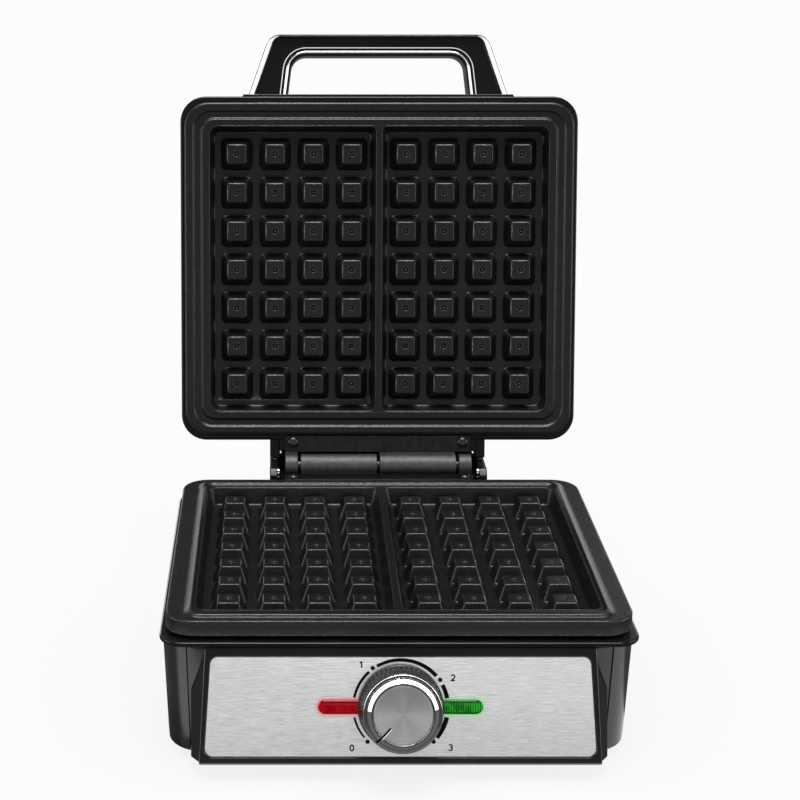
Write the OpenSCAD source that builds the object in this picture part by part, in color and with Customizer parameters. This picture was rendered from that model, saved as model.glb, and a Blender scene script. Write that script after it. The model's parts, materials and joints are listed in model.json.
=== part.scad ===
// Double waffle maker, drawn with its lid fully open on the stop.
// Millimetres, +Z up, +Y away from the user, origin under the middle of the overall box on the table.

/* [Overall] */
// Width of the tray rim
rim_w = 243.2; // [241:0.2:246]
// Depth of the tray rim
rim_d = 210; // [209:0.5:212]
// Height of the joint between the two cooking plates
joint_z = 80; // [80:0.5:84]
// Lid angle between closed and resting on its stop
open_angle = 102.76; // [100:0.01:104]

/* [Cooking plates] */
// Distance between neighbouring blocks
pitch = 23.5; // [23:0.1:23.6]
// Distance between the two innermost columns
mid_gap = 33.3; // [33:0.1:34]
// Height of a block
block_h = 8.8; // [7:0.1:9]
// Width of a block at its foot
block_foot = 18.3; // [16:0.1:19]
// Width of a block at its top
block_top = 11.6; // [9:0.1:13]
// How far the block tops lie under the joint
top_sink = 2.8; // [2.6:0.1:4]

/* [Control panel] */
// Lean of the panel back from upright
panel_lean = 16.5; // [14:0.5:18]
// Height of the knob axis where it leaves the panel
panel_z = 37.6; // [37:0.1:38.5]
// How far the knob face stands out of the panel
knob_out = 21.4; // [20:0.1:24]
// Knob angle at rest, clockwise from straight down
knob_rest = 43.5; // [40:0.5:50]

/* [Handle] */
// Height of the handle bow above the lid edge
bow_h = 34.4; // [33:0.2:40]
// Thickness of the handle bow
bow_t = 16; // [14:0.5:18]

/* [Hidden] */
$fn = 64;

y_off = -37.43;                 // moves the middle of the overall box onto the origin
plate_w = 237.6;
plate_d = 203;
hinge_y = 120.6;
hinge_z = joint_z + 0.6;
barrel_r = 6.95;
rim_top = joint_z - 11.8;
rim_low = rim_top - 2.4;
foot_h = 4.7;
floor_z = joint_z - top_sink - block_h;
pan_low = floor_z - 3.5;
leaf_top = hinge_z - 2.65;
leaf_t = 4;
leaf_front = hinge_y - 18.3;
screw_x = 52.5;
screw_y = hinge_y - 13.9;
panel_y = -114.5;
lid_top = joint_z + 38.5;
post = [92, 74];
bow_z0 = joint_z + 20;
black = [0.09, 0.09, 0.1];
steel = [0.75, 0.75, 0.76];
alu = [0.62, 0.62, 0.64];

// Flat outline with round corners
module rr2(w, d, r) {
  square([w - 2*r, d], center = true);
  square([w, d - 2*r], center = true);
  for (sx = [-1, 1], sy = [-1, 1]) translate([sx*(w/2 - r), sy*(d/2 - r)]) circle(r);
}
module slab(w, d, r, z0, z1) translate([0, 0, z0]) linear_extrude(z1 - z0) rr2(w, d, r);

// Block with round corners, w by d at z1 and smaller by t on every side at z0 (z0 may be above z1)
module taper(w, d, r, z0, z1, t) {
  cw = w/2 - r;
  cd = d/2 - r;
  lo = min(z0, z1);
  rotate([90, 0, 0]) translate([0, 0, -cd]) linear_extrude(2*cd)
    polygon([[-w/2 + t, z0], [w/2 - t, z0], [w/2, z1], [-w/2, z1]]);
  rotate([90, 0, 90]) translate([0, 0, -cw]) linear_extrude(2*cw)
    polygon([[-d/2 + t, z0], [d/2 - t, z0], [d/2, z1], [-d/2, z1]]);
  for (sx = [-1, 1], sy = [-1, 1]) translate([sx*cw, sy*cd, lo])
    cylinder(h = abs(z1 - z0), r1 = z0 < z1 ? r - t : r, r2 = z0 < z1 ? r : r - t);
}

// Frames: the lid turned open about the hinge, the mirrored upper half, the sloping panel
module opened() translate([0, hinge_y, hinge_z]) rotate([-open_angle, 0, 0]) translate([0, -hinge_y, -hinge_z]) children();
module upside() translate([0, 0, 2*joint_z]) mirror([0, 0, 1]) children();
module on_panel() translate([0, panel_y, panel_z]) rotate([90 - panel_lean, 0, 0]) children();
module placed() translate([0, y_off, 0]) children();

// ---------- cooking plates ----------
module blocks() {
  h0 = floor_z - 0.5;
  k = (block_foot - block_top)/2/block_h;
  f = block_foot/2 + 0.5*k;
  t = block_top/2;
  intersection() {
    rotate([90, 0, 0]) linear_extrude(400, center = true)
      for (s = [-1, 1], i = [0:3]) { x = s*(mid_gap/2 + i*pitch);
        polygon([[x - f, h0], [x + f, h0], [x + t, floor_z + block_h], [x - t, floor_z + block_h]]); }
    rotate([90, 0, 90]) linear_extrude(400, center = true)
      for (i = [-3:3]) polygon([[i*pitch - f, h0], [i*pitch + f, h0], [i*pitch + t, floor_z + block_h], [i*pitch - t, floor_z + block_h]]);
  }
}
module cooking_plate(e = 0) {
  edge = joint_z - 1.2;
  crest = joint_z - 0.2;
  low = joint_z - 9.4;
  difference() {
    union() {
      slab(plate_w + e, plate_d + e, 15, low, edge);
      taper(plate_w + e, plate_d + e, 15, crest, edge, 4);
      slab(213.4, 179.4, 12, pan_low, joint_z - 5);
    }
    // hollow under the rim, round the pan
    difference() {
      slab(plate_w + e - 5.6, plate_d + e - 5.6, 12.2, low - 1, joint_z - 4.2);
      slab(213.4, 179.4, 12, low - 2, joint_z - 4);
    }
    // baking hollow and its sloping edge
    taper(208, 174.8, 5.5, floor_z, crest - 1.4, 2.5);
    taper(215, 181.8, 9, crest - 1.41, crest + 0.01, 3.5);
  }
  intersection() {
    blocks();
    slab(206, 172, 4, floor_z - 0.4, joint_z);
  }
  // rib between the two waffles
  rotate([90, 0, 0]) linear_extrude(175.4, center = true)
    polygon([[-5, floor_z - 0.5], [5, floor_z - 0.5], [1.3, joint_z - 0.9], [-1.3, joint_z - 0.9]]);
}
module plate_posts(low) {
  difference() {
    for (sx = [-1, 1], sy = [-1, 1]) translate([sx*post[0], sy*post[1], low]) cylinder(h = pan_low - low + 1, r = 5);
    for (sx = [-1, 1], sy = [-1, 1]) translate([sx*post[0], sy*post[1], low - 1]) cylinder(h = pan_low - low, r = 2.05);
  }
  for (x = [-40, 0, 40]) translate([x, 0, pan_low - 6.6]) difference() {
    cylinder(h = 7, r = 5);
    translate([0, 0, -1]) cylinder(h = 6.5, r = 1.55);
  }
}

// ---------- heaters ----------
er = 3.3;
ez = pan_low - er;
module rod(p, dir, l) translate(p) rotate(dir) cylinder(h = l, r = er);
module bend(p, a, r) translate(p) rotate([0, 0, a]) rotate_extrude(angle = 90) translate([r, 0]) circle(er);
module heating_element(drop, tail) {
  hx = 74; hy = 54; r = 26;
  bend([hx - r, hy - r, ez], 0, r);
  bend([-hx + r, hy - r, ez], 90, r);
  bend([-hx + r, -hy + r, ez], 180, r);
  bend([hx - r, -hy + r, ez], 270, r);
  rod([-hx + r, hy, ez], [0, 90, 0], 2*(hx - r));
  rod([-hx, -hy + r, ez], [-90, 0, 0], 2*(hy - r));
  rod([hx, -hy + r, ez], [-90, 0, 0], 2*(hy - r));
  for (s = [-1, 1]) {
    rod([s > 0 ? 16 : -hx + r, -hy, ez], [0, 90, 0], hx - r - 16);
    translate([s*16, -hy, ez - 8]) rotate([90, 0, s > 0 ? 180 : 0]) rotate_extrude(angle = 90) translate([8, 0]) circle(er);
    rod([s*8, -hy, ez - 8 - drop], [0, 0, 0], drop);
    translate([s*8, -hy, ez - 8 - drop - tail]) cylinder(h = tail + 1, r = 1.2);
  }
}
module element_clamp() {
  z1 = ez - er;
  difference() {
    translate([-80, -7, z1 - 1.6]) cube([160, 14, 1.6]);
    for (x = [-40, 0, 40]) translate([x, 0, z1 - 3]) cylinder(h = 4, r = 1.7);
  }
  for (x = [-40, 0, 40]) translate([x, 0, z1 - 3.4]) {
    cylinder(h = 1.8, r = 3.2);
    cylinder(h = 7.4, r = 1.5);
  }
}
// thin pan under the element, open towards the plate
module heat_shield(low) {
  difference() {
    taper(208, 174, 16, low, pan_low - 4, 1.5);
    taper(206.4, 172.4, 15.2, low + 0.8, pan_low - 3.99, 1.4);
    for (sx = [-1, 1], sy = [-1, 1]) translate([sx*post[0], sy*post[1], low - 1]) cylinder(h = 3, r = 2.3);
    for (s = [-1, 1]) translate([s*8, -54, low - 1]) cylinder(h = 3, r = 6);
  }
}
module long_screw(z0, z1, r, hr, hh) {
  translate([0, 0, z0]) cylinder(h = hh, r = hr);
  translate([0, 0, z0]) cylinder(h = z1 - z0, r = r);
}

// ---------- base ----------
sh_low = 46.8;
module body_outer(g = 0) {
  taper(241.8 + 2*g, 208.8 + 2*g, 26 + g, 9, rim_low, 2.4);
  taper(237 + 2*g, 204 + 2*g, 23.6 + g, foot_h, 9.01, 4);
}
module hinge_block(g = 0) {
  translate([0, 0, 9]) linear_extrude(rim_top - 9) hinge_outline(g);
  translate([0, 0, rim_top - 0.1]) linear_extrude(3.9) intersection() { hinge_outline(g); translate([-80, 103.2]) square([160, 60]); }
  translate([0, 0, foot_h]) linear_extrude(9 - foot_h) hinge_outline(g - 1.2);
}
module hinge_outline(g) {
  translate([-58.9, 90]) square([117.8, 52 + g]);
  translate([-66.9 - g, 90]) square([133.8 + 2*g, 44]);
  for (s = [-1, 1]) translate([s*58.9, 134]) circle(8 + g);
}
module base_housing() {
  difference() {
    union() {
      slab(rim_w, rim_d, 15, rim_low, rim_top);
      body_outer();
      hinge_block();
      // seat under the lower hinge leaf
      translate([-57.9, 103.2, rim_low]) cube([115.8, 9.6, leaf_top - leaf_t - rim_low]);
      // ears that stop the lid
      for (s = [-1, 1]) translate([s > 0 ? 62.1 : -66.9, 112, 70]) cube([4.8, 29, hinge_z - 0.4 - 70]);
      for (s = [-1, 1]) translate([s > 0 ? 62.6 : -65.6, 129, 79]) cube([3, 9, hinge_z + 1.3 - 79]);
      // wall behind the hinge
      translate([-66.9, 137.6, 70]) cube([133.8, 3.4, 11.3]);
      translate([-59.9, 137.6, 70]) cube([119.8, 3.4, hinge_z + 2.9 - 70]);
    }
    // inside
    difference() {
      union() {
        taper(236.8, 203.8, 23.5, 8.9, rim_low, 2.4);
        taper(232, 199, 21, foot_h - 0.1, 8.91, 3.7);
        translate([0, 0, foot_h - 0.1]) linear_extrude(rim_low - foot_h + 0.1) hinge_outline(-3.2);
        translate([0, 0, rim_low - 1]) linear_extrude(4.7) intersection() { hinge_outline(-3.2); translate([-80, 107]) square([160, 60]); }
      }
      // posts that carry the plate
      for (sx = [-1, 1], sy = [-1, 1]) {
        translate([sx*post[0], sy*post[1], 34]) cylinder(h = sh_low - 34, r = 6);
        translate([sx > 0 ? post[0] : -post[0] - 30, sy*post[1] - 1.5, 34]) cube([30, 3, sh_low - 35]);
      }
      // posts for the bottom cover
      for (sx = [-1, 1], y = [-56, 56]) {
        translate([sx*106, y, foot_h + 2.6]) cylinder(h = 22, r = 4.5);
        translate([sx > 0 ? 106 : -126, y - 1.2, foot_h + 2.6]) cube([20, 2.4, 22]);
      }
      for (s = [-1, 1]) {
        translate([s*46, 128, foot_h + 2.6]) cylinder(h = 22, r = 4.5);
        translate([s*46 - 1.2, 128, foot_h + 2.6]) cube([2.4, 14, 22]);
      }
    }
    // opening for the pan of the lower plate
    slab(216.4, 182.4, 13, 60, 80);
    // opening behind the control panel
    translate([-62, -112, 16]) cube([124, 16, 42]);
    // screw holes
    for (sx = [-1, 1], sy = [-1, 1]) translate([sx*post[0], sy*post[1], 30]) cylinder(h = 20, r = 2.3);
    for (sx = [-1, 1], y = [-56, 56]) translate([sx*106, y, 6]) cylinder(h = 16, r = 1.6);
    for (s = [-1, 1]) {
      translate([s*46, 128, 6]) cylinder(h = 16, r = 1.6);
      translate([s*screw_x, screw_y, 60]) cylinder(h = 16, r = 1.8);
      translate([s*64.5, hinge_y, 75.6]) rotate([0, 90, 0]) cylinder(h = 7, r = 2.05, center = true);
    }
    for (s = [-1, 1]) translate([s*70, -108, panel_z]) rotate([-90, 0, 0]) cylinder(h = 12, r = 1.9);
    // seat of the cord gland
    translate([0, 145, 24]) rotate([90, 0, 0]) cylinder(h = 12, r = 7.1);
  }
}
module cover_outline(g) {
  rr2(224.4 - 2*g, 191.4 - 2*g, 17.2 - g);
  hinge_outline(-3.4 - g);
}
module base_bottom_cover() {
  difference() {
    union() {
      translate([0, 0, foot_h]) linear_extrude(2.4) cover_outline(0);
      for (x = [-60:30:60]) translate([x - 1, -70, foot_h + 2]) cube([2, 130, 2.4]);
    }
    for (sx = [-1, 1], sy = [-1, 1]) translate([sx*86, sy*79, foot_h - 1]) cylinder(h = 6, r = 3.1);
    for (sx = [-1, 1], y = [-56, 56]) translate([sx*106, y, foot_h - 1]) cylinder(h = 6, r = 1.9);
    for (s = [-1, 1]) translate([s*46, 128, foot_h - 1]) cylinder(h = 6, r = 1.9);
    // vent slots
    for (x = [-45, -15, 15, 45], y = [-30:15:30]) translate([x - 9, y - 1.6, foot_h - 1]) cube([18, 3.2, 6]);
  }
}
module rubber_feet() for (sx = [-1, 1], sy = [-1, 1]) translate([sx*86, sy*79, 0]) {
  cylinder(h = 1, r1 = 8, r2 = 9);
  translate([0, 0, 1]) cylinder(h = foot_h - 1, r = 9);
  translate([0, 0, 2]) cylinder(h = 7, r = 3);
  translate([0, 0, foot_h + 2.5]) cylinder(h = 1.8, r1 = 4, r2 = 3);
}
module bottom_cover_screws() {
  for (sx = [-1, 1], y = [-56, 56]) translate([sx*106, y, 0]) long_screw(foot_h - 1.8, 19, 1.5, 3.4, 1.8);
  for (s = [-1, 1]) translate([s*46, 128, 0]) long_screw(foot_h - 1.8, 19, 1.5, 3.4, 1.8);
}
module lower_plate_screws() for (sx = [-1, 1], sy = [-1, 1]) translate([sx*post[0], sy*post[1], 0])
  long_screw(31.4, 57, 2, 4, 2.6);

// ---------- control panel ----------
px0 = 96.9;                    // half width of the steel plate at the knob axis
pk = 0.053;                    // it widens downwards by this much per mm
module panel_outline(g) {
  r = 4.2;
  h = 25.4 + g;
  xt = px0 - pk*25.4 + g;
  xb = px0 + pk*25.4 + g;
  a = atan((xb - xt)/(2*h - 2*r));
  function arc(c, from, to) = [for (i = [0:10]) c + r*[cos(from + (to - from)*i/10), sin(from + (to - from)*i/10)]];
  polygon(concat(arc([xt - r, h - r], 90, a), arc([xb - r, r - h], a, -90), arc([r - xb, r - h], 270, 180 - a), arc([r - xt, h - r], 180 - a, 90)));
}
module window_outline(s, g) {
  translate([s*37.8, 0]) circle(3.5 + g);
  translate([s > 0 ? 17 - g : -37.8, -3.5 - g]) square([20.8 + g, 7 + 2*g]);
}
module control_bezel() {
  difference() {
    union() {
      rotate([90, 0, 90]) translate([0, 0, -105.6]) linear_extrude(211.2) polygon([
        [panel_y + (rim_low - 0.1 - panel_z)*tan(panel_lean) - 0.62, rim_low - 0.1],
        [panel_y - 27.2*tan(panel_lean) - 0.62, panel_z - 27.2],
        [panel_y - 28.6*tan(panel_lean) + 0.6, panel_z - 28.6],
        [-92, panel_z - 28.6 - 2.2], [-92, rim_low - 0.1]]);
    }
    // slanting side faces
    for (s = [-1, 1]) on_panel() translate([s*(px0 + 2.75), 0, 0.6]) rotate([0, 0, s*atan(pk)]) rotate([90, 0, 0])
      linear_extrude(140, center = true) polygon([[0, 0], [0, -3.7], [s*29.3, -45], [s*60, -45], [s*60, 5], [0, 5]]);
    body_outer(0.1);
    // hollow behind the front wall
    difference() {
      intersection() {
        on_panel() translate([-94, -26.4, -60]) cube([188, 53.4, 56.7]);
        translate([-100, -140, 10.6]) cube([200, 60, 60]);
      }
      for (s = [-1, 1]) translate([s*70, -125, panel_z]) rotate([-90, 0, 0]) cylinder(h = 40, r = 4);
    }
    on_panel() {
      // seat of the steel plate
      translate([0, 0, -0.8]) linear_extrude(3) panel_outline(0.15);
      for (s = [-1, 1]) translate([0, 0, -5]) linear_extrude(8) window_outline(s, 0.1);
      translate([0, 0, -5]) cylinder(h = 8, r = 5.2);
    }
    for (s = [-1, 1]) translate([s*70, -110.5, panel_z]) rotate([-90, 0, 0]) cylinder(h = 14, r = 1.6);
  }
}
module bezel_screws() for (s = [-1, 1]) translate([s*70, -98.5, panel_z]) rotate([90, 0, 0]) {
  cylinder(h = 2, r = 3.2);
  cylinder(h = 11, r = 1.55);
}
module front_panel_plate() on_panel() difference() {
  translate([0, 0, -0.8]) linear_extrude(0.8) panel_outline(0);
  for (s = [-1, 1]) translate([0, 0, -2]) linear_extrude(4) window_outline(s, 0.1);
  translate([0, 0, -2]) cylinder(h = 4, r = 5.2);
}
module lamp_lens(s) on_panel() {
  translate([0, 0, -3.3]) linear_extrude(4.3) window_outline(s, 0);
  translate([0, 0, -4.5]) linear_extrude(1.2) window_outline(s, 1.2);
}
module lamp_holder() on_panel() difference() {
  translate([-46, -6.5, -17]) cube([92, 13, 12.5]);
  for (s = [-1, 1]) translate([s > 0 ? 16.5 : -44, -5, -15]) cube([27.5, 10, 11]);
  translate([-14.5, -7, -18]) cube([29, 14, 14]);
  translate([-50, -8, -18]) cube([100, 1.5, 15]);
}
module neon_lamps() on_panel() for (s = [-1, 1]) translate([s*22, 0, -10]) rotate([0, s*90, 0]) {
  cylinder(h = 13, r = 2.6);
  translate([0, 0, 13]) sphere(2.6);
}

// ---------- thermostat and wiring ----------
module thermostat_body() on_panel() {
  translate([-13, -13, -27]) cube([26, 26, 14]);
  difference() {
    translate([0, 0, -13]) cylinder(h = 12.2, r = 4.9);
    translate([0, 0, -14]) cylinder(h = 20, r = 3.05);
  }
  for (s = [-1, 1]) translate([s*9 - 3.1, -1, -35]) cube([6.2, 1, 8]);
}
module thermostat_bracket() on_panel() difference() {
  union() {
    translate([-14, -14, -12.9]) cube([28, 28, 1.2]);
    for (s = [-1, 1]) translate([s > 0 ? 12.8 : -14, 7, -12.9]) cube([1.2, 7, 9.5]);
    for (s = [-1, 1]) translate([s > 0 ? 12.8 : -14, -14, -12.9]) cube([1.2, 7, 9.5]);
  }
  translate([0, 0, -15]) cylinder(h = 6, r = 5);
}
module thermostat_nut() on_panel() difference() {
  translate([0, 0, -11.6]) cylinder(h = 3, r = 7.5, $fn = 6);
  translate([0, 0, -13]) cylinder(h = 6, r = 5);
}
module thermal_fuse() {
  translate([-70, -30, sh_low - 4.2]) cube([26, 9, 4.2]);
  translate([-68, -25.5, 40]) rotate([0, 90, 0]) cylinder(h = 22, r = 3);
}
module terminal_block() difference() {
  union() {
    translate([18, 96, 7.2]) cube([34, 16, 15]);
    for (i = [0:2]) translate([24 + 11*i, 104, 22]) cylinder(h = 2, r = 3.2);
  }
  for (i = [0:2]) translate([24 + 11*i, 90, 15]) rotate([-90, 0, 0]) cylinder(h = 30, r = 2);
}
module cord_gland() translate([0, 0, 24]) rotate([-90, 0, 0]) difference() {
  union() {
    translate([0, 0, 142]) cylinder(h = 6, r = 10);
    translate([0, 0, 134]) cylinder(h = 10, r = 7);
    translate([0, 0, 134]) cylinder(h = 4.8, r = 8.6);
  }
  translate([0, 0, 130]) cylinder(h = 20, r = 3.8);
}
module wire(p, a, l) translate(p) rotate(a) cylinder(h = l, r = 1.1);
module base_wiring() {
  // terminal block to element, fuse and thermostat, each run resting on the bottom cover
  wire([24, 94, 15], [90, 0, 0], 140);
  translate([24, -46, 15]) sphere(1.1);
  wire([24, -46, 15], [0, -90, 0], 16);
  translate([8, -46, 15]) sphere(1.1);
  wire([8, -46, 15], [0, 0, 0], 12);
  wire([35, 94, 15], [90, 0, 0], 60);
  translate([35, 34, 15]) sphere(1.1);
  wire([35, 34, 15], [0, -90, 0], 91);
  translate([-56, 34, 15]) sphere(1.1);
  wire([-56, 34, 15], [90, 0, 0], 110);
}

// ---------- hinge ----------
module bracket() {
  difference() {
    union() {
      translate([-57.4, leaf_front, leaf_top - leaf_t]) cube([114.8, 18.3 - barrel_r - 0.8, leaf_t]);
      for (s = [-1, 1]) translate([s*screw_x, screw_y, leaf_top - leaf_t]) cylinder(h = leaf_t, r = 4.9);
      // webs and barrels: one long, one short
      translate([-47.9, leaf_front + 4, leaf_top - leaf_t]) cube([47, 14.3, leaf_t]);
      translate([49.6, leaf_front + 4, leaf_top - leaf_t]) cube([7.8, 14.3, leaf_t]);
      translate([-47.9, hinge_y, hinge_z]) rotate([0, 90, 0]) cylinder(h = 47, r = barrel_r);
      translate([49.6, hinge_y, hinge_z]) rotate([0, 90, 0]) cylinder(h = 7.8, r = barrel_r);
    }
    translate([-60, hinge_y, hinge_z]) rotate([0, 90, 0]) cylinder(h = 120, r = 3.05);
    for (s = [-1, 1]) translate([s*screw_x, screw_y, 60]) cylinder(h = 30, r = 2.2);
  }
}
module bracket_screws(depth) for (s = [-1, 1]) translate([s*screw_x, screw_y, 0]) difference() {
  union() {
    translate([0, 0, leaf_top]) cylinder(h = 1.9, r = 3.5);
    translate([0, 0, leaf_top - depth]) cylinder(h = depth + 0.5, r = 1.7);
  }
  for (a = [0, 90]) translate([0, 0, leaf_top + 1.2]) rotate([0, 0, a + 20]) cube([4, 0.9, 1.6], center = true);
}
module hinge_pin() translate([-57.2, hinge_y, hinge_z]) rotate([0, 90, 0]) {
  cylinder(h = 114.4, r = 3);
}
module hinge_ear_rivets() for (s = [-1, 1]) translate([0, hinge_y, 75.6]) rotate([0, s*90, 0]) {
  translate([0, 0, 60.2]) cylinder(h = 1.9, r = 3.4);
  translate([0, 0, 60.2]) cylinder(h = 6.2, r = 2);
}

// ---------- lid, drawn closed ----------
lid_rim = joint_z + 5.6;
module lid_shell(g) {
  slab(rim_w - 2*g, rim_d + 1 - 2*g, 15.5 - g, lid_rim, lid_rim + 6);
  taper(240 - 2*g, 207 - 2*g, 34 - g, lid_top - 11, lid_rim + 5.9, 4);
  taper(232 - 2*g, 199 - 2*g, 30 - g, lid_top - g, lid_top - 11.01, 11);
}
module lid_housing() {
  deck = 2*joint_z - rim_top;
  difference() {
    union() {
      lid_shell(0);
      // ears that rest on the base when open
      for (s = [-1, 1]) translate([s > 0 ? 60.6 : -66.9, 0, 0]) rotate([90, 0, 90]) linear_extrude(6.3)
        polygon([[96, 88.5], [hinge_y - 3.42, 88.5], [hinge_y - 3.42 - 5.5, 88.5 + 24.3], [96, 88.5 + 24.3]]);
      // pad over the hinge leaf
      translate([-60.7, 96, 2*hinge_z - leaf_top + leaf_t - 1]) cube([121.4, 16.8, 16]);
      // foot of the handle
      translate([0, -102.9, bow_z0 - 2]) linear_extrude(bow_t + 3) square([167, 9.8], center = true);
    }
    // inside, above the deck
    difference() {
      taper(232, 199, 31, lid_top - 11, deck + 2.4, 4);
      for (sx = [-1, 1], sy = [-1, 1]) translate([sx*post[0], sy*post[1], 107.4]) cylinder(h = 20, r = 6);
      translate([-90, -100, 100]) cube([180, 8, 30]);
      for (s = [-1, 1]) translate([s*screw_x, screw_y - 3, 80]) cylinder(h = 24, r = 5.5);
    }
    difference() {
      taper(224, 191, 27, lid_top - 2.4, lid_top - 11.02, 9);
      for (sx = [-1, 1], sy = [-1, 1]) translate([sx*post[0], sy*post[1], 107.4]) cylinder(h = 20, r = 6);
      translate([-90, -100, 100]) cube([180, 8, 30]);
    }
    // room for the skirt of the plate, and opening for its pan
    slab(plate_w + 1.6, plate_d + 1.6, 15.8, lid_rim - 1, deck);
    slab(216.4, 182.4, 13, 80, 100);
    // room for the hinge leaf
    translate([-58.2, 101.6, 80]) cube([116.4, 20, 2*hinge_z - leaf_top + leaf_t - 80]);
    // screws
    for (sx = [-1, 1], sy = [-1, 1]) translate([sx*post[0], sy*post[1], 100]) cylinder(h = 30, r = 2.3);
    for (sx = [-1, 1], sy = [-1, 1]) translate([sx*post[0], sy*post[1], lid_top - 5]) cylinder(h = 10, r = 4.6);
    for (s = [-1, 1]) translate([s*screw_x, screw_y, 84]) cylinder(h = 17, r = 1.8);
    for (s = [-1, 1]) translate([s*68, -120, bow_z0 + bow_t/2]) rotate([-90, 0, 0]) cylinder(h = 32, r = 2.1);
    // seat of the top panel
    slab(201.2, 168.2, 16, lid_top - 0.9, lid_top + 2);
  }
}
module lid_top_panel() slab(200.6, 167.6, 15.7, lid_top - 0.8, lid_top);
module upper_plate_screws() for (sx = [-1, 1], sy = [-1, 1]) translate([sx*post[0], sy*post[1], 0])
  upside() long_screw(2*joint_z - lid_top + 1.5, 59, 2, 4, 2.6);

// bow: slanting legs and a bar, drawn flat in X and distance out from the lid edge
bow_y0 = -110;
bow_f = 2.2;                   // the feet reach this far below the line the bow is drawn from
module bow_outer(g, t) {
  a = 19.5;
  top = bow_h - t;
  x0 = 79.6 - g/cos(a);
  R = 10 - (g + t)/2;
  cx = x0 - tan(a)*(top - R) - R/cos(a);
  polygon([[-x0 - bow_f*tan(a), -bow_f], [x0 + bow_f*tan(a), -bow_f], [cx + R*cos(a), top - R + R*sin(a)], [cx, top], [-cx, top], [-cx - R*cos(a), top - R + R*sin(a)]]);
  // a hair inside the straight sides, so each corner is its own small facet
  for (s = [-1, 1]) translate([s*cx, top - R]) circle(R - 0.02);
}
module bow_inner(g) {
  a = 7;
  top = bow_h - 13.2 + g;
  x0 = 55.3 + g/cos(a);
  R = 9 + g;
  cx = x0 - tan(a)*(top - R) - R/cos(a);
  polygon([[-x0 - 5*tan(a), -5], [x0 + 5*tan(a), -5], [cx + R*cos(a), top - R + R*sin(a)], [cx, top], [-cx, top], [-cx - R*cos(a), top - R + R*sin(a)]]);
  for (s = [-1, 1]) translate([s*cx, top - R]) circle(R - 0.02);
}
module bow_frame() translate([0, bow_y0, bow_z0]) mirror([0, 1, 0]) children();
module handle_bow() difference() {
  bow_frame() union() {
    linear_extrude(bow_t) difference() { bow_outer(3.65, 1.35); bow_inner(0); }
  }
  // groove for the inner trim, and screw holes in the feet
  bow_frame() translate([0, 0, -1]) linear_extrude(1.9) difference() { bow_inner(3.25); bow_inner(1.55); }
  for (s = [-1, 1]) translate([s*68, bow_y0 - 14, bow_z0 + bow_t/2]) rotate([-90, 0, 0]) cylinder(h = 20, r = 1.7);
}
module handle_outer_trim() bow_frame() translate([0, 0, -0.6]) linear_extrude(bow_t + 1.2) difference() { bow_outer(0, 0); bow_outer(3.6, 1.3); }
module handle_inner_trim() bow_frame() translate([0, 0, -0.3]) linear_extrude(1.15) intersection() {
  difference() { bow_inner(3.2); bow_inner(1.6); }
  translate([-90, -bow_f]) square([180, 62]);
}
module handle_screws() for (s = [-1, 1]) translate([s*68, -89.4, bow_z0 + bow_t/2]) rotate([90, 0, 0]) {
  cylinder(h = 2.4, r = 3.1);
  cylinder(h = 32, r = 1.6);
}

// ---------- knob, drawn pointing straight down ----------
module knob_frame() on_panel() rotate([0, 0, -knob_rest]) children();
module knob_skirt() difference() {
  union() {
    translate([0, 0, 1.4]) cylinder(h = 1.7, r = 21.6);
    translate([0, 0, 3]) cylinder(h = knob_out - 7, r1 = 21.2, r2 = 19.6);
  }
  translate([0, 0, 0]) difference() {
    translate([0, 0, -1]) cylinder(h = knob_out - 7, r = 17.6);
    cylinder(h = knob_out, r = 6.5);
  }
  translate([0, 0, -1]) cylinder(h = knob_out - 8, r = 3.05);
  translate([0, 0, 5]) difference() { cylinder(h = 5, r = 7.6); translate([0, 0, -1]) cylinder(h = 7, r = 5.6); }
}
module knob_bevel_ring() difference() {
  union() {
    translate([0, 0, knob_out - 4]) cylinder(h = 0.8, r = 19.6);
    translate([0, 0, knob_out - 3.2]) cylinder(h = 3.2, r1 = 19.6, r2 = 15.4);
  }
  translate([0, 0, knob_out - 5]) cylinder(h = 10, r = 14.9);
}
module knob_face() difference() {
  translate([0, 0, knob_out - 4]) cylinder(h = 3.8, r = 14.8);
  translate([0, 0, knob_out + 60 - 0.9]) sphere(60, $fn = 128);
  translate([-0.65, -15, knob_out - 1.4]) cube([1.3, 6.2, 3]);
}
module knob_pointer() translate([-0.55, -14.7, knob_out - 1.4]) cube([1.1, 5.8, 1]);
module thermostat_spindle() difference() {
  translate([0, 0, -13]) cylinder(h = knob_out + 3.4, r = 3);
  translate([-4, 2.2, 1]) cube([8, 4, 30]);
}
module knob_spring_clip() translate([0, 0, 5.5]) difference() {
  cylinder(h = 3.6, r = 6.5);
  translate([0, 0, -1]) cylinder(h = 6, r = 5.65);
  translate([-2, 4, -1]) cube([4, 6, 6]);
}

color(black) placed() base_housing();
color(black) placed() base_bottom_cover();
color([0.05, 0.05, 0.05]) placed() rubber_feet();
color(steel) placed() bottom_cover_screws();
color(black) placed() control_bezel();
color(steel) placed() bezel_screws();
color(steel) placed() front_panel_plate();
color([0.8, 0.05, 0.08]) placed() lamp_lens(-1);  // red_lamp_lens
color([0.05, 0.65, 0.15]) placed() lamp_lens(1);  // green_lamp_lens
color([0.9, 0.9, 0.86]) placed() lamp_holder();
color([0.95, 0.6, 0.3]) placed() neon_lamps();
color(black) placed() union() { cooking_plate(); plate_posts(sh_low + 0.8); }  // lower_cooking_plate
color(alu) placed() heating_element(13, 7);  // lower_heating_element
color(steel) placed() element_clamp();  // lower_element_clamp
color(alu) placed() heat_shield(sh_low);  // lower_heat_shield
color(steel) placed() lower_plate_screws();
color([0.85, 0.83, 0.78]) placed() thermostat_body();
color(steel) placed() thermostat_bracket();
color([0.8, 0.65, 0.3]) placed() thermostat_nut();
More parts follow.
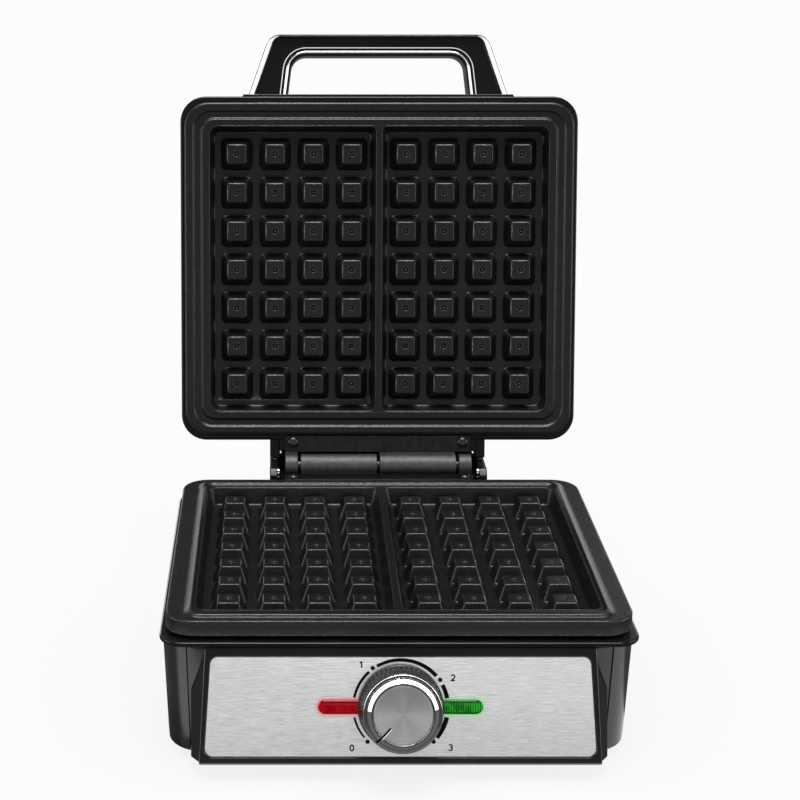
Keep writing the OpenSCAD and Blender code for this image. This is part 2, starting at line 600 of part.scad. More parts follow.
color([0.9, 0.9, 0.85]) placed() thermal_fuse();
color([0.9, 0.9, 0.88]) placed() terminal_block();
color(black) placed() cord_gland();
color([0.85, 0.85, 0.8]) placed() base_wiring();
color(black) placed() bracket();  // lower_hinge_bracket
color(steel) placed() bracket_screws(13);  // lower_hinge_screws
color(steel) placed() hinge_pin();
color(steel) placed() hinge_ear_rivets();
color(black) placed() opened() lid_housing();
color(steel) placed() opened() lid_top_panel();
color(black) placed() opened() upside() union() { cooking_plate(1); plate_posts(53.4); }  // upper_cooking_plate
color(alu) placed() opened() upside() heating_element(2, 5);  // upper_heating_element
color(steel) placed() opened() upside() element_clamp();  // upper_element_clamp
color(alu) placed() opened() upside() heat_shield(52.6);  // upper_heat_shield
color(steel) placed() opened() upper_plate_screws();
color(black) placed() opened() translate([0, 0, 2*hinge_z]) rotate([0, 180, 0]) bracket();  // upper_hinge_bracket
color(steel) placed() opened() translate([0, 0, 2*hinge_z]) rotate([0, 180, 0]) bracket_screws(12);  // upper_hinge_screws
color(black) placed() opened() handle_bow();
color(steel) placed() opened() handle_outer_trim();
color(steel) placed() opened() handle_inner_trim();
color(steel) placed() opened() handle_screws();
color([0.2, 0.2, 0.22]) placed() knob_frame() knob_skirt();
color(steel) placed() knob_frame() knob_bevel_ring();
color(alu) placed() knob_frame() knob_face();
color(black) placed() knob_frame() knob_pointer();
color(steel) placed() knob_frame() thermostat_spindle();
color(steel) placed() knob_frame() knob_spring_clip();
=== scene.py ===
import bpy, bmesh, math, json
import numpy as np
from mathutils import Matrix, Vector
from mathutils.geometry import tessellate_polygon


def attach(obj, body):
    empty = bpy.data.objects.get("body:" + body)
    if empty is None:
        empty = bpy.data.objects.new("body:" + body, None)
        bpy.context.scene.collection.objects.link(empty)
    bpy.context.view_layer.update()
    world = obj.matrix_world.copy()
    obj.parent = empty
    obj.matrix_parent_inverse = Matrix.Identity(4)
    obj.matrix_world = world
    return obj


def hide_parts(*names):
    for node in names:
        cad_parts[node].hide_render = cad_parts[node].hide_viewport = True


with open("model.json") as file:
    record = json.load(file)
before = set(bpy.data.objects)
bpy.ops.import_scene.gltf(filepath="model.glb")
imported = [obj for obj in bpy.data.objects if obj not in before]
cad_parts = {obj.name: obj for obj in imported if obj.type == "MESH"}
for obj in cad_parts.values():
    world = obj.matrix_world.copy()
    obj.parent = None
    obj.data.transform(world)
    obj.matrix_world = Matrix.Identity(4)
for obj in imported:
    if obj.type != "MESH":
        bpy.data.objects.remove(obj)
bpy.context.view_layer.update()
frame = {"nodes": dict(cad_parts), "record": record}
NODES = frame["nodes"]

# ------------------------------------------------------------------ sizes, in mm, as in the CAD
YO = -37.43
JZ = 80.0
HY, HZ = 120.6, 80.6
OPEN = 102.76
LEAN = 16.5
PANEL = (0.0, -114.5, 37.6)
KNOB_REST = 43.5
KOUT = 21.4
PITCH, MID = 23.5, 33.3
RIM_W, RIM_D = 243.2, 210.0
RIM_TOP, RIM_LOW = 68.2, 65.8
LID_TOP, LID_RIM = 118.5, 85.6
BOW_Z0, BOW_Y0, BOW_T, BOW_H, BOW_F = 100.0, -110.0, 16.0, 34.4, 2.2


def tr(x, y, z):
    return Matrix.Translation((x * .001, y * .001, z * .001))


def rot(deg, ax):
    return Matrix.Rotation(math.radians(deg), 4, ax)


T_BASE = tr(0, YO, 0)
T_LID = T_BASE @ tr(0, HY, HZ) @ rot(-OPEN, "X") @ tr(0, -HY, -HZ)
T_PANEL = T_BASE @ tr(*PANEL) @ rot(90 - LEAN, "X")
T_KNOB = T_PANEL @ rot(-KNOB_REST, "Z")


# ------------------------------------------------------------------ node materials
class Mat:
    """A small builder for node materials. Object coordinates are in metres, in the piece's own frame."""

    def __init__(self, name):
        self.m = bpy.data.materials.new(name)
        self.m.use_nodes = True
        self.t = self.m.node_tree
        self.b = self.t.nodes["Principled BSDF"]
        self.tc = self.t.nodes.new("ShaderNodeTexCoord")

    def n(self, kind, **kw):
        x = self.t.nodes.new(kind)
        for k, v in kw.items():
            setattr(x, k, v)
        return x

    def link(self, a, b):
        self.t.links.new(a, b)

    def set(self, **kw):
        for k, v in kw.items():
            self.b.inputs[k.replace("_", " ")].default_value = v
        return self

    def coords(self, scale=(1, 1, 1), rotate=(0, 0, 0)):
        mp = self.n("ShaderNodeMapping")
        mp.inputs["Scale"].default_value = scale
        mp.inputs["Rotation"].default_value = rotate
        self.link(self.tc.outputs["Object"], mp.inputs["Vector"])
        return mp.outputs["Vector"]

    def noise(self, scale, detail=3.0, rough=0.55, vec=None, dist=0.0):
        x = self.n("ShaderNodeTexNoise")
        x.inputs["Scale"].default_value = scale
        x.inputs["Detail"].default_value = detail
        x.inputs["Roughness"].default_value = rough
        x.inputs["Distortion"].default_value = dist
        self.link(vec if vec is not None else self.tc.outputs["Object"], x.inputs["Vector"])
        return x.outputs["Fac"]

    def ramp(self, fac, stops, interp="LINEAR"):
        r = self.n("ShaderNodeValToRGB")
        r.color_ramp.interpolation = interp
        e = r.color_ramp.elements
        while len(e) > 1:
            e.remove(e[-1])
        for i, (p, c) in enumerate(stops):
            c = (c, c, c, 1) if isinstance(c, (int, float)) else (*c, 1)
            if i == 0:
                e[0].position, e[0].color = p, c
            else:
                q = e.new(p)
                q.color = c
        self.link(fac, r.inputs["Fac"])
        return r.outputs["Color"]

    def maprange(self, fac, a, b, c, d):
        r = self.n("ShaderNodeMapRange")
        for k, v in zip(("From Min", "From Max", "To Min", "To Max"), (a, b, c, d)):
            r.inputs[k].default_value = v
        self.link(fac, r.inputs["Value"])
        return r.outputs["Result"]

    def bump(self, height, strength, distance=0.0002, normal=None):
        x = self.n("ShaderNodeBump")
        x.inputs["Strength"].default_value = strength
        x.inputs["Distance"].default_value = distance
        self.link(height, x.inputs["Height"])
        if normal is not None:
            self.link(normal, x.inputs["Normal"])
        return x.outputs["Normal"]

    def normal(self, n):
        self.link(n, self.b.inputs["Normal"])
        return self

    def base(self, c):
        self.link(c, self.b.inputs["Base Color"])
        return self

    def rough(self, c):
        self.link(c, self.b.inputs["Roughness"])
        return self


def plastic(name, lo, hi, r0, r1, grain=900, gs=0.05, spec=0.35, wave=12):
    """Moulded plastic: faint mottling, a fine moulded grain and a slow waviness of the surface."""
    m = Mat(name)
    m.set(Specular_IOR_Level=spec)
    m.base(m.ramp(m.noise(45, 4), [(0.3, lo), (0.7, hi)]))
    m.rough(m.maprange(m.noise(120, 5, 0.7), 0.3, 0.7, r0, r1))
    n1 = m.bump(m.noise(grain, 2), gs, 0.0001)
    m.normal(m.bump(m.noise(wave, 2), 0.04, 0.001, n1))
    return m.m


def metal(name, lo, hi, r0, r1, scale=(1, 1, 1), fine=400, bs=0.04, aniso=0.0, spots=0.0):
    m = Mat(name)
    m.set(Metallic=1.0)
    if aniso:
        m.set(Anisotropic=aniso)
    v = m.coords(scale)
    m.base(m.ramp(m.noise(fine, 4, 0.6, v), [(0.3, lo), (0.7, hi)]))
    m.rough(m.maprange(m.noise(fine * 1.7, 4, 0.6, v), 0.3, 0.7, r0, r1))
    m.normal(m.bump(m.noise(fine * 2, 3, 0.6, v), bs, 0.0001))
    return m.m


def make_nonstick():
    """Sprayed non-stick coat: near black, with a pebbled grain that breaks up every highlight, and a painted highlight
    along the edges: the convex edges are mixed towards a light grey that stands in for the glints of the light there.
    """
    m = Mat("nonstick_coat")
    m.set(Specular_IOR_Level=0.5)
    coat = m.ramp(m.noise(260, 5, 0.65), [(0.25, (0.0028, 0.0028, 0.003)), (0.75, (0.006, 0.006, 0.0063))])
    # painted highlight: the convex edges are mixed, in patches, towards a light grey that stands in for the glints of
    # the light along them
    geo = m.n("ShaderNodeNewGeometry")
    edge = m.maprange(geo.outputs["Pointiness"], 0.515, 0.575, 0.0, 1.0)
    painted_edge_glint = m.n("ShaderNodeMath", operation="MULTIPLY")
    m.link(edge, painted_edge_glint.inputs[0])
    m.link(m.maprange(m.noise(700, 3, 0.6), 0.38, 0.62, 0.25, 1.0), painted_edge_glint.inputs[1])
    mix = m.n("ShaderNodeMix", data_type="RGBA")
    m.link(painted_edge_glint.outputs[0], mix.inputs["Factor"])
    m.link(coat, mix.inputs["A"])
    mix.inputs["B"].default_value = (0.085, 0.085, 0.087, 1)
    m.base(mix.outputs["Result"])
    m.rough(m.maprange(m.noise(900, 4, 0.7), 0.3, 0.7, 0.24, 0.40))
    n1 = m.bump(m.noise(1700, 2, 0.5), 0.5, 0.00012)
    n2 = m.bump(m.noise(760, 2, 0.6), 0.5, 0.0003, n1)
    m.normal(m.bump(m.noise(160, 2, 0.5), 0.10, 0.0006, n2))
    return m.m


def make_cast(name, lo, hi, r0=0.34, r1=0.5):
    m = Mat(name)
    m.set(Metallic=1.0)
    m.base(m.ramp(m.noise(300, 5, 0.65), [(0.25, lo), (0.75, hi)]))
    m.rough(m.maprange(m.noise(700, 4, 0.7), 0.3, 0.7, r0, r1))
    n1 = m.bump(m.noise(1100, 2, 0.5), 0.3, 0.00012)
    m.normal(m.bump(m.noise(300, 3, 0.6), 0.15, 0.0003, n1))
    return m.m


def make_brushed(name, lo, hi, r0, r1, glow=False):
    """Sheet steel brushed along X: long fine scratches, broken into short dashes, over slow cloudy bands."""
    m = Mat(name)
    m.set(Metallic=1.0)
    v1 = m.coords((75, 2400, 2400))
    v2 = m.coords((240, 5200, 5200))
    v3 = m.coords((6, 22, 22))
    f1, f2, f3 = m.noise(1.0, 5, 0.62, v1), m.noise(1.0, 3, 0.6, v2), m.noise(1.0, 3, 0.5, v3)
    mix = m.n("ShaderNodeMath", operation="MULTIPLY_ADD")
    mix.inputs[1].default_value = 0.55
    m.link(f1, mix.inputs[0])
    k = m.n("ShaderNodeMath", operation="MULTIPLY")
    k.inputs[1].default_value = 0.45
    m.link(f2, k.inputs[0])
    m.link(k.outputs[0], mix.inputs[2])
    col = m.ramp(mix.outputs[0], [(0.37, lo), (0.5, tuple((a + b) / 2 for a, b in zip(lo, hi))), (0.63, hi)])
    m.base(col)
    m.rough(m.maprange(f3, 0.3, 0.7, r0, r1))
    m.normal(m.bump(mix.outputs[0], 0.16, 0.00006))
    if glow:
        # light of the two lamp windows on the steel round them, by distance in the panel's own plane
        sep = m.n("ShaderNodeSeparateXYZ")
        m.link(m.tc.outputs["Object"], sep.inputs[0])
        tint, glow_c = col, None
        for s, near, light in ((-1, (1.0, 0.36, 0.40), (0.30, 0.0, 0.012)), (1, (0.42, 1.0, 0.42), (0.0, 0.16, 0.004))):
            # distance from the window's centre line, which runs from |x| = 17 to 37.8 mm
            cx = m.n("ShaderNodeClamp")
            cx.inputs["Min"].default_value = min(s * .017, s * .0378)
            cx.inputs["Max"].default_value = max(s * .017, s * .0378)
            m.link(sep.outputs["X"], cx.inputs["Value"])
            dx = m.n("ShaderNodeMath", operation="SUBTRACT")
            m.link(sep.outputs["X"], dx.inputs[0])
            m.link(cx.outputs[0], dx.inputs[1])
            cmb = m.n("ShaderNodeCombineXYZ")
            m.link(dx.outputs[0], cmb.inputs["X"])
            m.link(sep.outputs["Y"], cmb.inputs["Y"])
            ln = m.n("ShaderNodeVectorMath", operation="LENGTH")
            m.link(cmb.outputs[0], ln.inputs[0])
            d = m.maprange(ln.outputs["Value"], 0.0034, 0.0056, 0.0, 1.0)
            half = tuple((1 + c) / 2 for c in near)
            t = m.ramp(d, [(0.0, near), (0.45, half), (1.0, (1, 1, 1))])
            mix = m.n("ShaderNodeMix", data_type="RGBA", blend_type="MULTIPLY")
            mix.inputs["Factor"].default_value = 1.0
            m.link(tint, mix.inputs["A"])
            m.link(t, mix.inputs["B"])
            tint = mix.outputs["Result"]
            g = m.ramp(d, [(0.0, light), (0.5, tuple(c * 0.35 for c in light)), (1.0, (0, 0, 0))])
            if glow_c is None:
                glow_c = g
            else:
                add = m.n("ShaderNodeMix", data_type="RGBA", blend_type="ADD")
                add.inputs["Factor"].default_value = 1.0
                m.link(glow_c, add.inputs["A"])
                m.link(g, add.inputs["B"])
                glow_c = add.outputs["Result"]
        m.base(tint)
        m.link(glow_c, m.b.inputs["Emission Color"])
        m.set(Emission_Strength=1.0)
    return m.m


def make_spun(name):
    """Spun aluminium: fine rings about the piece's own Z, anisotropic."""
    m = Mat(name)
    m.set(Metallic=1.0, Anisotropic=0.85, Anisotropic_Rotation=0.25, Roughness=0.3)
    sep = m.n("ShaderNodeSeparateXYZ")
    m.link(m.tc.outputs["Object"], sep.inputs[0])
    cmb = m.n("ShaderNodeCombineXYZ")
    m.link(sep.outputs["X"], cmb.inputs["X"])
    m.link(sep.outputs["Y"], cmb.inputs["Y"])
    ln = m.n("ShaderNodeVectorMath", operation="LENGTH")
    m.link(cmb.outputs[0], ln.inputs[0])
    ring = m.n("ShaderNodeCombineXYZ")
    m.link(ln.outputs["Value"], ring.inputs["X"])
    f = m.noise(3800, 2, 0.6, ring.outputs[0])
    m.base(m.ramp(f, [(0.3, (0.28, 0.28, 0.285)), (0.7, (0.50, 0.50, 0.505))]))
    m.normal(m.bump(f, 0.10, 0.00006))
    tg = m.n("ShaderNodeTangent", direction_type="RADIAL", axis="Z")
    m.link(tg.outputs[0], m.b.inputs["Tangent"])
    return m.m


def make_lens(name, deep, lit, strength):
    """Lit window: clear coloured plastic over a diffuser whose upright ribs glow unevenly."""
    m = Mat(name)
    m.set(Roughness=0.09, Specular_IOR_Level=0.5)
    sep = m.n("ShaderNodeSeparateXYZ")
    m.link(m.tc.outputs["Object"], sep.inputs[0])
    w = m.n("ShaderNodeTexWave", wave_type="BANDS", bands_direction="X")
    w.inputs["Scale"].default_value = 260
    w.inputs["Distortion"].default_value = 0.6
    w.inputs["Detail"].default_value = 1.5
    m.link(m.tc.outputs["Object"], w.inputs["Vector"])
    # bright only along the middle of the window
    mid = m.n("ShaderNodeMath", operation="ABSOLUTE")
    m.link(sep.outputs["Y"], mid.inputs[0])
    band = m.maprange(mid.outputs[0], 0.0019, 0.0027, 1.0, 0.0)
    mul = m.n("ShaderNodeMath", operation="MULTIPLY")
    m.link(band, mul.inputs[0])
    m.link(w.outputs["Fac"], mul.inputs[1])
    patch = m.n("ShaderNodeMath", operation="MULTIPLY")
    m.link(mul.outputs[0], patch.inputs[0])
    m.link(m.maprange(m.noise(230, 2, 0.5), 0.42, 0.56, 0.25, 1.0), patch.inputs[1])
    m.base(m.ramp(patch.outputs[0], [(0, tuple(c * 0.3 for c in deep)), (1, tuple(c * 0.5 for c in deep))]))
    m.link(m.ramp(patch.outputs[0], [(0.0, deep), (0.35, tuple((a + b) / 2 for a, b in zip(deep, lit))), (1.0, lit)]), m.b.inputs["Emission Color"])
    m.set(Emission_Strength=strength)
    return m.m


def make_rubber():
    return plastic("rubber_foot", 0.012, 0.022, 0.62, 0.8, grain=2200, gs=0.25, spec=0.3)


def make_floor():
    """White table: evenly lit where the camera sees it, and darker in what the object mirrors."""
    m = Mat("studio_floor")
    m.set(Specular_IOR_Level=0.1, Roughness=0.7)
    tint = m.ramp(m.noise(2.0, 3), [(0.3, (0.90, 0.90, 0.90)), (0.7, (0.91, 0.91, 0.91))])
    lp = m.n("ShaderNodeLightPath")
    mix = m.n("ShaderNodeMix", data_type="RGBA")
    m.link(lp.outputs["Is Glossy Ray"], mix.inputs["Factor"])
    m.link(tint, mix.inputs["A"])
    mix.inputs["B"].default_value = (0.13, 0.13, 0.13, 1)
    m.base(mix.outputs["Result"])
    m.normal(m.bump(m.noise(60, 2), 0.01, 0.001))
    em = m.n("ShaderNodeEmission")
    em.inputs["Color"].default_value = (0.982, 0.982, 0.982, 1)
    k = m.n("ShaderNodeMath", operation="MULTIPLY")
    k.inputs[1].default_value = 0.85
    m.link(lp.outputs["Is Camera Ray"], k.inputs[0])
    ms = m.n("ShaderNodeMixShader")
    m.link(k.outputs[0], ms.inputs[0])
    m.link(m.b.outputs[0], ms.inputs[1])
    m.link(em.outputs[0], ms.inputs[2])
    m.link(ms.outputs[0], m.t.nodes["Material Output"].inputs["Surface"])
    return m.m


M = {
    "nonstick": make_nonstick(),
    "cast_black": make_cast("cast_leaf_coat", 0.015, 0.032),
    # painted sheen: the barrels get a lighter copy of the leaf's cast coat, which stands in for the light along their
    # curve
    "cast_barrel": make_cast("cast_barrel_coat", 0.07, 0.125, 0.5, 0.64),
    "black_gloss": plastic("black_gloss_moulding", (0.0035, 0.0035, 0.0037), (0.005, 0.005, 0.0053), 0.09, 0.15, grain=700, gs=0.012, spec=0.45),
    "black_body": plastic("black_body_moulding", (0.0065, 0.0065, 0.007), (0.009, 0.009, 0.0095), 0.20, 0.27, grain=1500, gs=0.04, spec=0.45),
    "black_rim": plastic("black_rim_moulding", (0.004, 0.004, 0.0042), (0.006, 0.006, 0.0063), 0.16, 0.22, grain=1100, gs=0.02, spec=0.45),
    "black_satin": plastic("black_satin_moulding", (0.010, 0.010, 0.0105), (0.016, 0.016, 0.017), 0.42, 0.55, grain=1800, gs=0.12, spec=0.4),
    "grip": plastic("knob_grip_moulding", (0.010, 0.010, 0.0105), (0.018, 0.018, 0.019), 0.24, 0.34, grain=1800, gs=0.06, spec=0.55),
    "steel_brushed": make_brushed("brushed_panel_steel", (0.56, 0.56, 0.565), (0.98, 0.98, 0.985), 0.28, 0.36, glow=True),
    "steel_lid": make_brushed("brushed_lid_steel", (0.60, 0.60, 0.605), (0.80, 0.80, 0.805), 0.28, 0.38),
    "steel_plain": metal("zinc_plated_steel", (0.42, 0.42, 0.43), (0.60, 0.60, 0.62), 0.25, 0.42, fine=500, bs=0.08),
    "screw_black": metal("black_oxide_steel", (0.035, 0.035, 0.037), (0.07, 0.07, 0.073), 0.28, 0.42, fine=900, bs=0.08),
    "chrome": metal("bright_chrome", (0.86, 0.86, 0.87), (0.92, 0.92, 0.93), 0.035, 0.07, fine=60, bs=0.006),
    "alu_spun": make_spun("spun_aluminium"),
    "alu_sheet": metal("aluminised_sheet", (0.55, 0.55, 0.56), (0.74, 0.74, 0.75), 0.3, 0.5, scale=(1, 1, 1), fine=180, bs=0.06),
    "element_steel": metal("heat_tinted_tube", (0.16, 0.15, 0.14), (0.34, 0.31, 0.27), 0.3, 0.5, fine=160, bs=0.05),
    "rubber": make_rubber(),
    "red_lens": make_lens("red_window", (0.150, 0.0, 0.002), (0.34, 0.003, 0.010), 1.0),
    "green_lens": make_lens("green_window", (0.001, 0.050, 0.003), (0.035, 0.38, 0.030), 1.0),
    "white_plastic": plastic("off_white_moulding", (0.62, 0.60, 0.55), (0.72, 0.70, 0.65), 0.42, 0.55, grain=1200, gs=0.08),
    "neon_glass": plastic("neon_lamp_glass", (0.75, 0.45, 0.25), (0.85, 0.55, 0.32), 0.05, 0.1, grain=500, gs=0.02),
    "brass": metal("plain_brass", (0.62, 0.44, 0.16), (0.78, 0.58, 0.26), 0.22, 0.36, fine=300, bs=0.05),
    "wire": plastic("wire_sleeve", (0.70, 0.68, 0.60), (0.80, 0.78, 0.70), 0.45, 0.6, grain=3000, gs=0.2),
    "print_black": plastic("dial_print", (0.0015, 0.0015, 0.0015), (0.003, 0.003, 0.003), 0.5, 0.6, grain=2500, gs=0.05, spec=0.15),
}


# ------------------------------------------------------------------ mesh helpers (mm in, metres out)
def lerp(a, b, t):
    return a + (b - a) * t


def finish_mesh(bm, name, T, body, mat, replaces=(), sharp=34, flip=False, wn=True, merge=1e-4, bake=False):
    if merge:
        bmesh.ops.remove_doubles(bm, verts=bm.verts, dist=merge)
    bmesh.ops.recalc_face_normals(bm, faces=bm.faces)
    if flip:
        bmesh.ops.reverse_faces(bm, faces=bm.faces)
    for v in bm.verts:
        v.co *= 0.001
        if bake:
            v.co = T @ v.co
    lim = math.radians(sharp)
    for e in bm.edges:
        e.smooth = not (len(e.link_faces) == 2 and e.calc_face_angle(0.0) > lim)
    me = bpy.data.meshes.new(name)
    bm.to_mesh(me)
    bm.free()
    me.polygons.foreach_set("use_smooth", [True] * len(me.polygons))
    ob = bpy.data.objects.new(name, me)
    bpy.context.scene.collection.objects.link(ob)
    if not bake:
        ob.matrix_world = T
    for m in (mat if isinstance(mat, (list, tuple)) else [mat]):
        me.materials.append(m)
    if wn:
        w = ob.modifiers.new("wn", "WEIGHTED_NORMAL")
        w.keep_sharp = True
        w.weight = 50
    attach(ob, body)
    if replaces:
        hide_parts(*replaces)
    return ob


def ring_rr(w, d, r, nc=10, rear=(), notch=None):
    """Rounded rectangle, counter-clockwise from the right side's lower end. rear: extra X places on the rear (+Y) side.
    notch = (angle, depth): the front wall and the corners up to that angle from the front are set back by depth."""
    pts = []
    for q, (cx, cy, a0) in enumerate(((1, -1, -90), (1, 1, 0), (-1, 1, 90), (-1, -1, 180))):
        ox, oy = cx * (w / 2 - r), cy * (d / 2 - r)
        angs = [(a0 + 90 * k / nc, 0.0) for k in range(nc + 1)]
        if notch is not None and cy < 0:
            phi, dep = notch
            # angle from the front normal (-90)
            ks = [k * phi / 4 for k in range(5)]
            ko = [phi + 0.25 + (90 - phi - 0.25) * k / 6 for k in range(7)]
            if q == 0:
                angs = [(-90 + a, -dep) for a in ks] + [(-90 + a, 0.0) for a in ko]
            else:
                angs = [(270 - a, 0.0) for a in reversed(ko)] + [(270 - a, -dep) for a in reversed(ks)]
        for a, g in angs:
            rr = r + g
            pts.append((ox + rr * math.cos(math.radians(a)), oy + rr * math.sin(math.radians(a))))
        if q == 1:
            for x in rear:
                pts.append((x, d / 2))
    return pts


def arc_line(pts, seg=6):
    """Open 2-D line whose points are (u, v) or (u, v, radius): corners with a radius become arcs."""
    out = []
    for i, p in enumerate(pts):
        r = p[2] if len(p) > 2 else 0
        if r <= 0 or i in (0, len(pts) - 1):
            out.append((p[0], p[1]))
            continue
        P, A, B = np.array(p[:2], float), np.array(pts[i - 1][:2], float), np.array(pts[i + 1][:2], float)
        u, v = (A - P) / np.linalg.norm(A - P), (B - P) / np.linalg.norm(B - P)
        ang = math.acos(max(-1, min(1, float(u @ v))))
        if ang > math.pi - 1e-3:
            out.append((p[0], p[1]))
            continue
        t = r / math.tan(ang / 2)
        c = P + (u + v) / np.linalg.norm(u + v) * (r / math.sin(ang / 2))
        s, e = P + u * t, P + v * t
        a0, a1 = math.atan2(*(s - c)[::-1]), math.atan2(*(e - c)[::-1])
        da = (a1 - a0 + math.pi) % (2 * math.pi) - math.pi
        for k in range(seg + 1):
            a = a0 + da * k / seg
            out.append((c[0] + r * math.cos(a), c[1] + r * math.sin(a)))
    return out


def loft(bm, rings, closed=True, around=False, cap0=False, cap1=False):
    """Skins rings of equal length. closed: each ring is a loop. around: the last ring joins the first."""
    vr = [[bm.verts.new(p) for p in r] for r in rings]
    n = len(rings[0])
    pairs = list(zip(vr[:-1], vr[1:]))
    if around:
        pairs.append((vr[-1], vr[0]))
    for a, b in pairs:
        for i in range(n if closed else n - 1):
            j = (i + 1) % n
            try:
                bm.faces.new((a[i], a[j], b[j], b[i]))
            except ValueError:
                pass
    if cap0:
        bm.faces.new(list(reversed(vr[0])))
    if cap1:
        bm.faces.new(vr[-1])
    return vr


def lathe(bm, prof, n=96, around=False, flutes=None, cap0=False, cap1=False):
    """Turns (radius, z) about Z. flutes = (count, depth, first, last): radius dips between those profile points."""
    rings = []
    for i, (r, z) in enumerate(prof):
        ring = []
        for k in range(n):
            a = 2 * math.pi * k / n
            rr = r
            if flutes and flutes[2] <= i <= flutes[3]:
                c = math.cos(flutes[0] * a)
                rr = r - flutes[1] * (0.5 - 0.5 * c) ** 0.8
            ring.append((rr * math.cos(a), rr * math.sin(a), z))
        rings.append(ring)
    return loft(bm, rings, around=around, cap0=cap0, cap1=cap1)


def prism(bm, poly, axis, a, b, bevel=0.0, seg=3, sharp=25):
    """Straight prism of a 2-D outline, with its sharp edges rounded. axis X: outline is (y, z); Y: (x, z); Z: (x, y)."""
    tmp = bmesh.new()

    def p3(p, t):
        return {"X": (t, p[0], p[1]), "Y": (p[0], t, p[1]), "Z": (p[0], p[1], t)}[axis]
    r0 = [tmp.verts.new(p3(p, a)) for p in poly]
    r1 = [tmp.verts.new(p3(p, b)) for p in poly]
    n = len(poly)
    tmp.faces.new(r0)
    tmp.faces.new(list(reversed(r1)))
    for i in range(n):
        j = (i + 1) % n
        tmp.faces.new((r0[j], r0[i], r1[i], r1[j]))
    bmesh.ops.recalc_face_normals(tmp, faces=tmp.faces)
    if bevel > 0:
        es = [e for e in tmp.edges if e.calc_face_angle(0.0) > math.radians(sharp)]
        bmesh.ops.bevel(tmp, geom=es, offset=bevel, segments=seg, profile=0.5, affect="EDGES", clamp_overlap=True)
    me = bpy.data.meshes.new("tmp")
    tmp.to_mesh(me)
    tmp.free()
    bm.from_mesh(me)
    bpy.data.meshes.remove(me)


def box(bm, x0, x1, y0, y1, z0, z1, bevel=0.5, seg=3):
    prism(bm, [(x0, y0), (x1, y0), (x1, y1), (x0, y1)], "Z", z0, z1, bevel, seg)


# ------------------------------------------------------------------ cooking plates
def quad_ring(x0, x1, y0, y1, r, k=10, rin=None):
    """Closed loop of 4*k points round a rectangle with round corners; point 0 is the middle of the lower-left corner's arc.
    r is one radius, or (radius at x0, radius at x1)."""
    ra, rb = r if isinstance(r, tuple) else (r, r)
    c = max(2, int(k * 0.3))            # points of each half corner
    s = k - 2 * c
    pts = []
    corners = [(x0, y0, ra, 180), (x1, y0, rb, 270), (x1, y1, rb, 0), (x0, y1, ra, 90)]
    for q in range(4):
        X, Y, R, a0 = corners[q]
        X2, Y2, R2, _ = corners[(q + 1) % 4]
        cx, cy = X + (R if X == x0 else -R), Y + (R if Y == y0 else -R)
        cx2, cy2 = X2 + (R2 if X2 == x0 else -R2), Y2 + (R2 if Y2 == y0 else -R2)
        for i in range(c):
            a = math.radians(a0 + 45 + 45 * i / c)
            pts.append((cx + R * math.cos(a), cy + R * math.sin(a)))
        a = math.radians(a0 + 90)
        sx, sy = cx + R * math.cos(a), cy + R * math.sin(a)
        ex, ey = cx2 + R2 * math.cos(a), cy2 + R2 * math.sin(a)
        for i in range(s + 1):
            pts.append((lerp(sx, ex, i / s), lerp(sy, ey, i / s)))
        for i in range(1, c):
            a = math.radians(a0 + 90 + 45 * i / c)
            pts.append((cx2 + R2 * math.cos(a), cy2 + R2 * math.sin(a)))
    return pts


FLOOR = 68.4
MOUTH = 78.5


def block_rings():
    """(half width, corner radius, height over the floor) from the channel up to the dimple."""
    h = 8.8
    side = [(10.3, 3.5, 0.0), (9.85, 3.3, 0.06), (9.5, 3.1, 0.26), (9.22, 2.95, 0.62), (9.03, 2.8, 1.1)]
    top = [(6.03, 1.45, 7.88), (5.95, 1.42, 8.14), (5.80, 1.36, 8.42), (5.58, 1.26, 8.64), (5.30, 1.12, 8.77), (5.02, 0.98, h)]
    return side + [(7.45, 2.1, 4.6)] + top + [(3.3, 2.2, h)]


def dimple():
    return [(1.85, 8.8), (1.68, 8.74), (1.5, 8.5), (1.32, 8.12), (1.12, 7.98), (0.9, 8.06), (0.68, 8.36), (0.5, 8.56), (0.26, 8.64)]


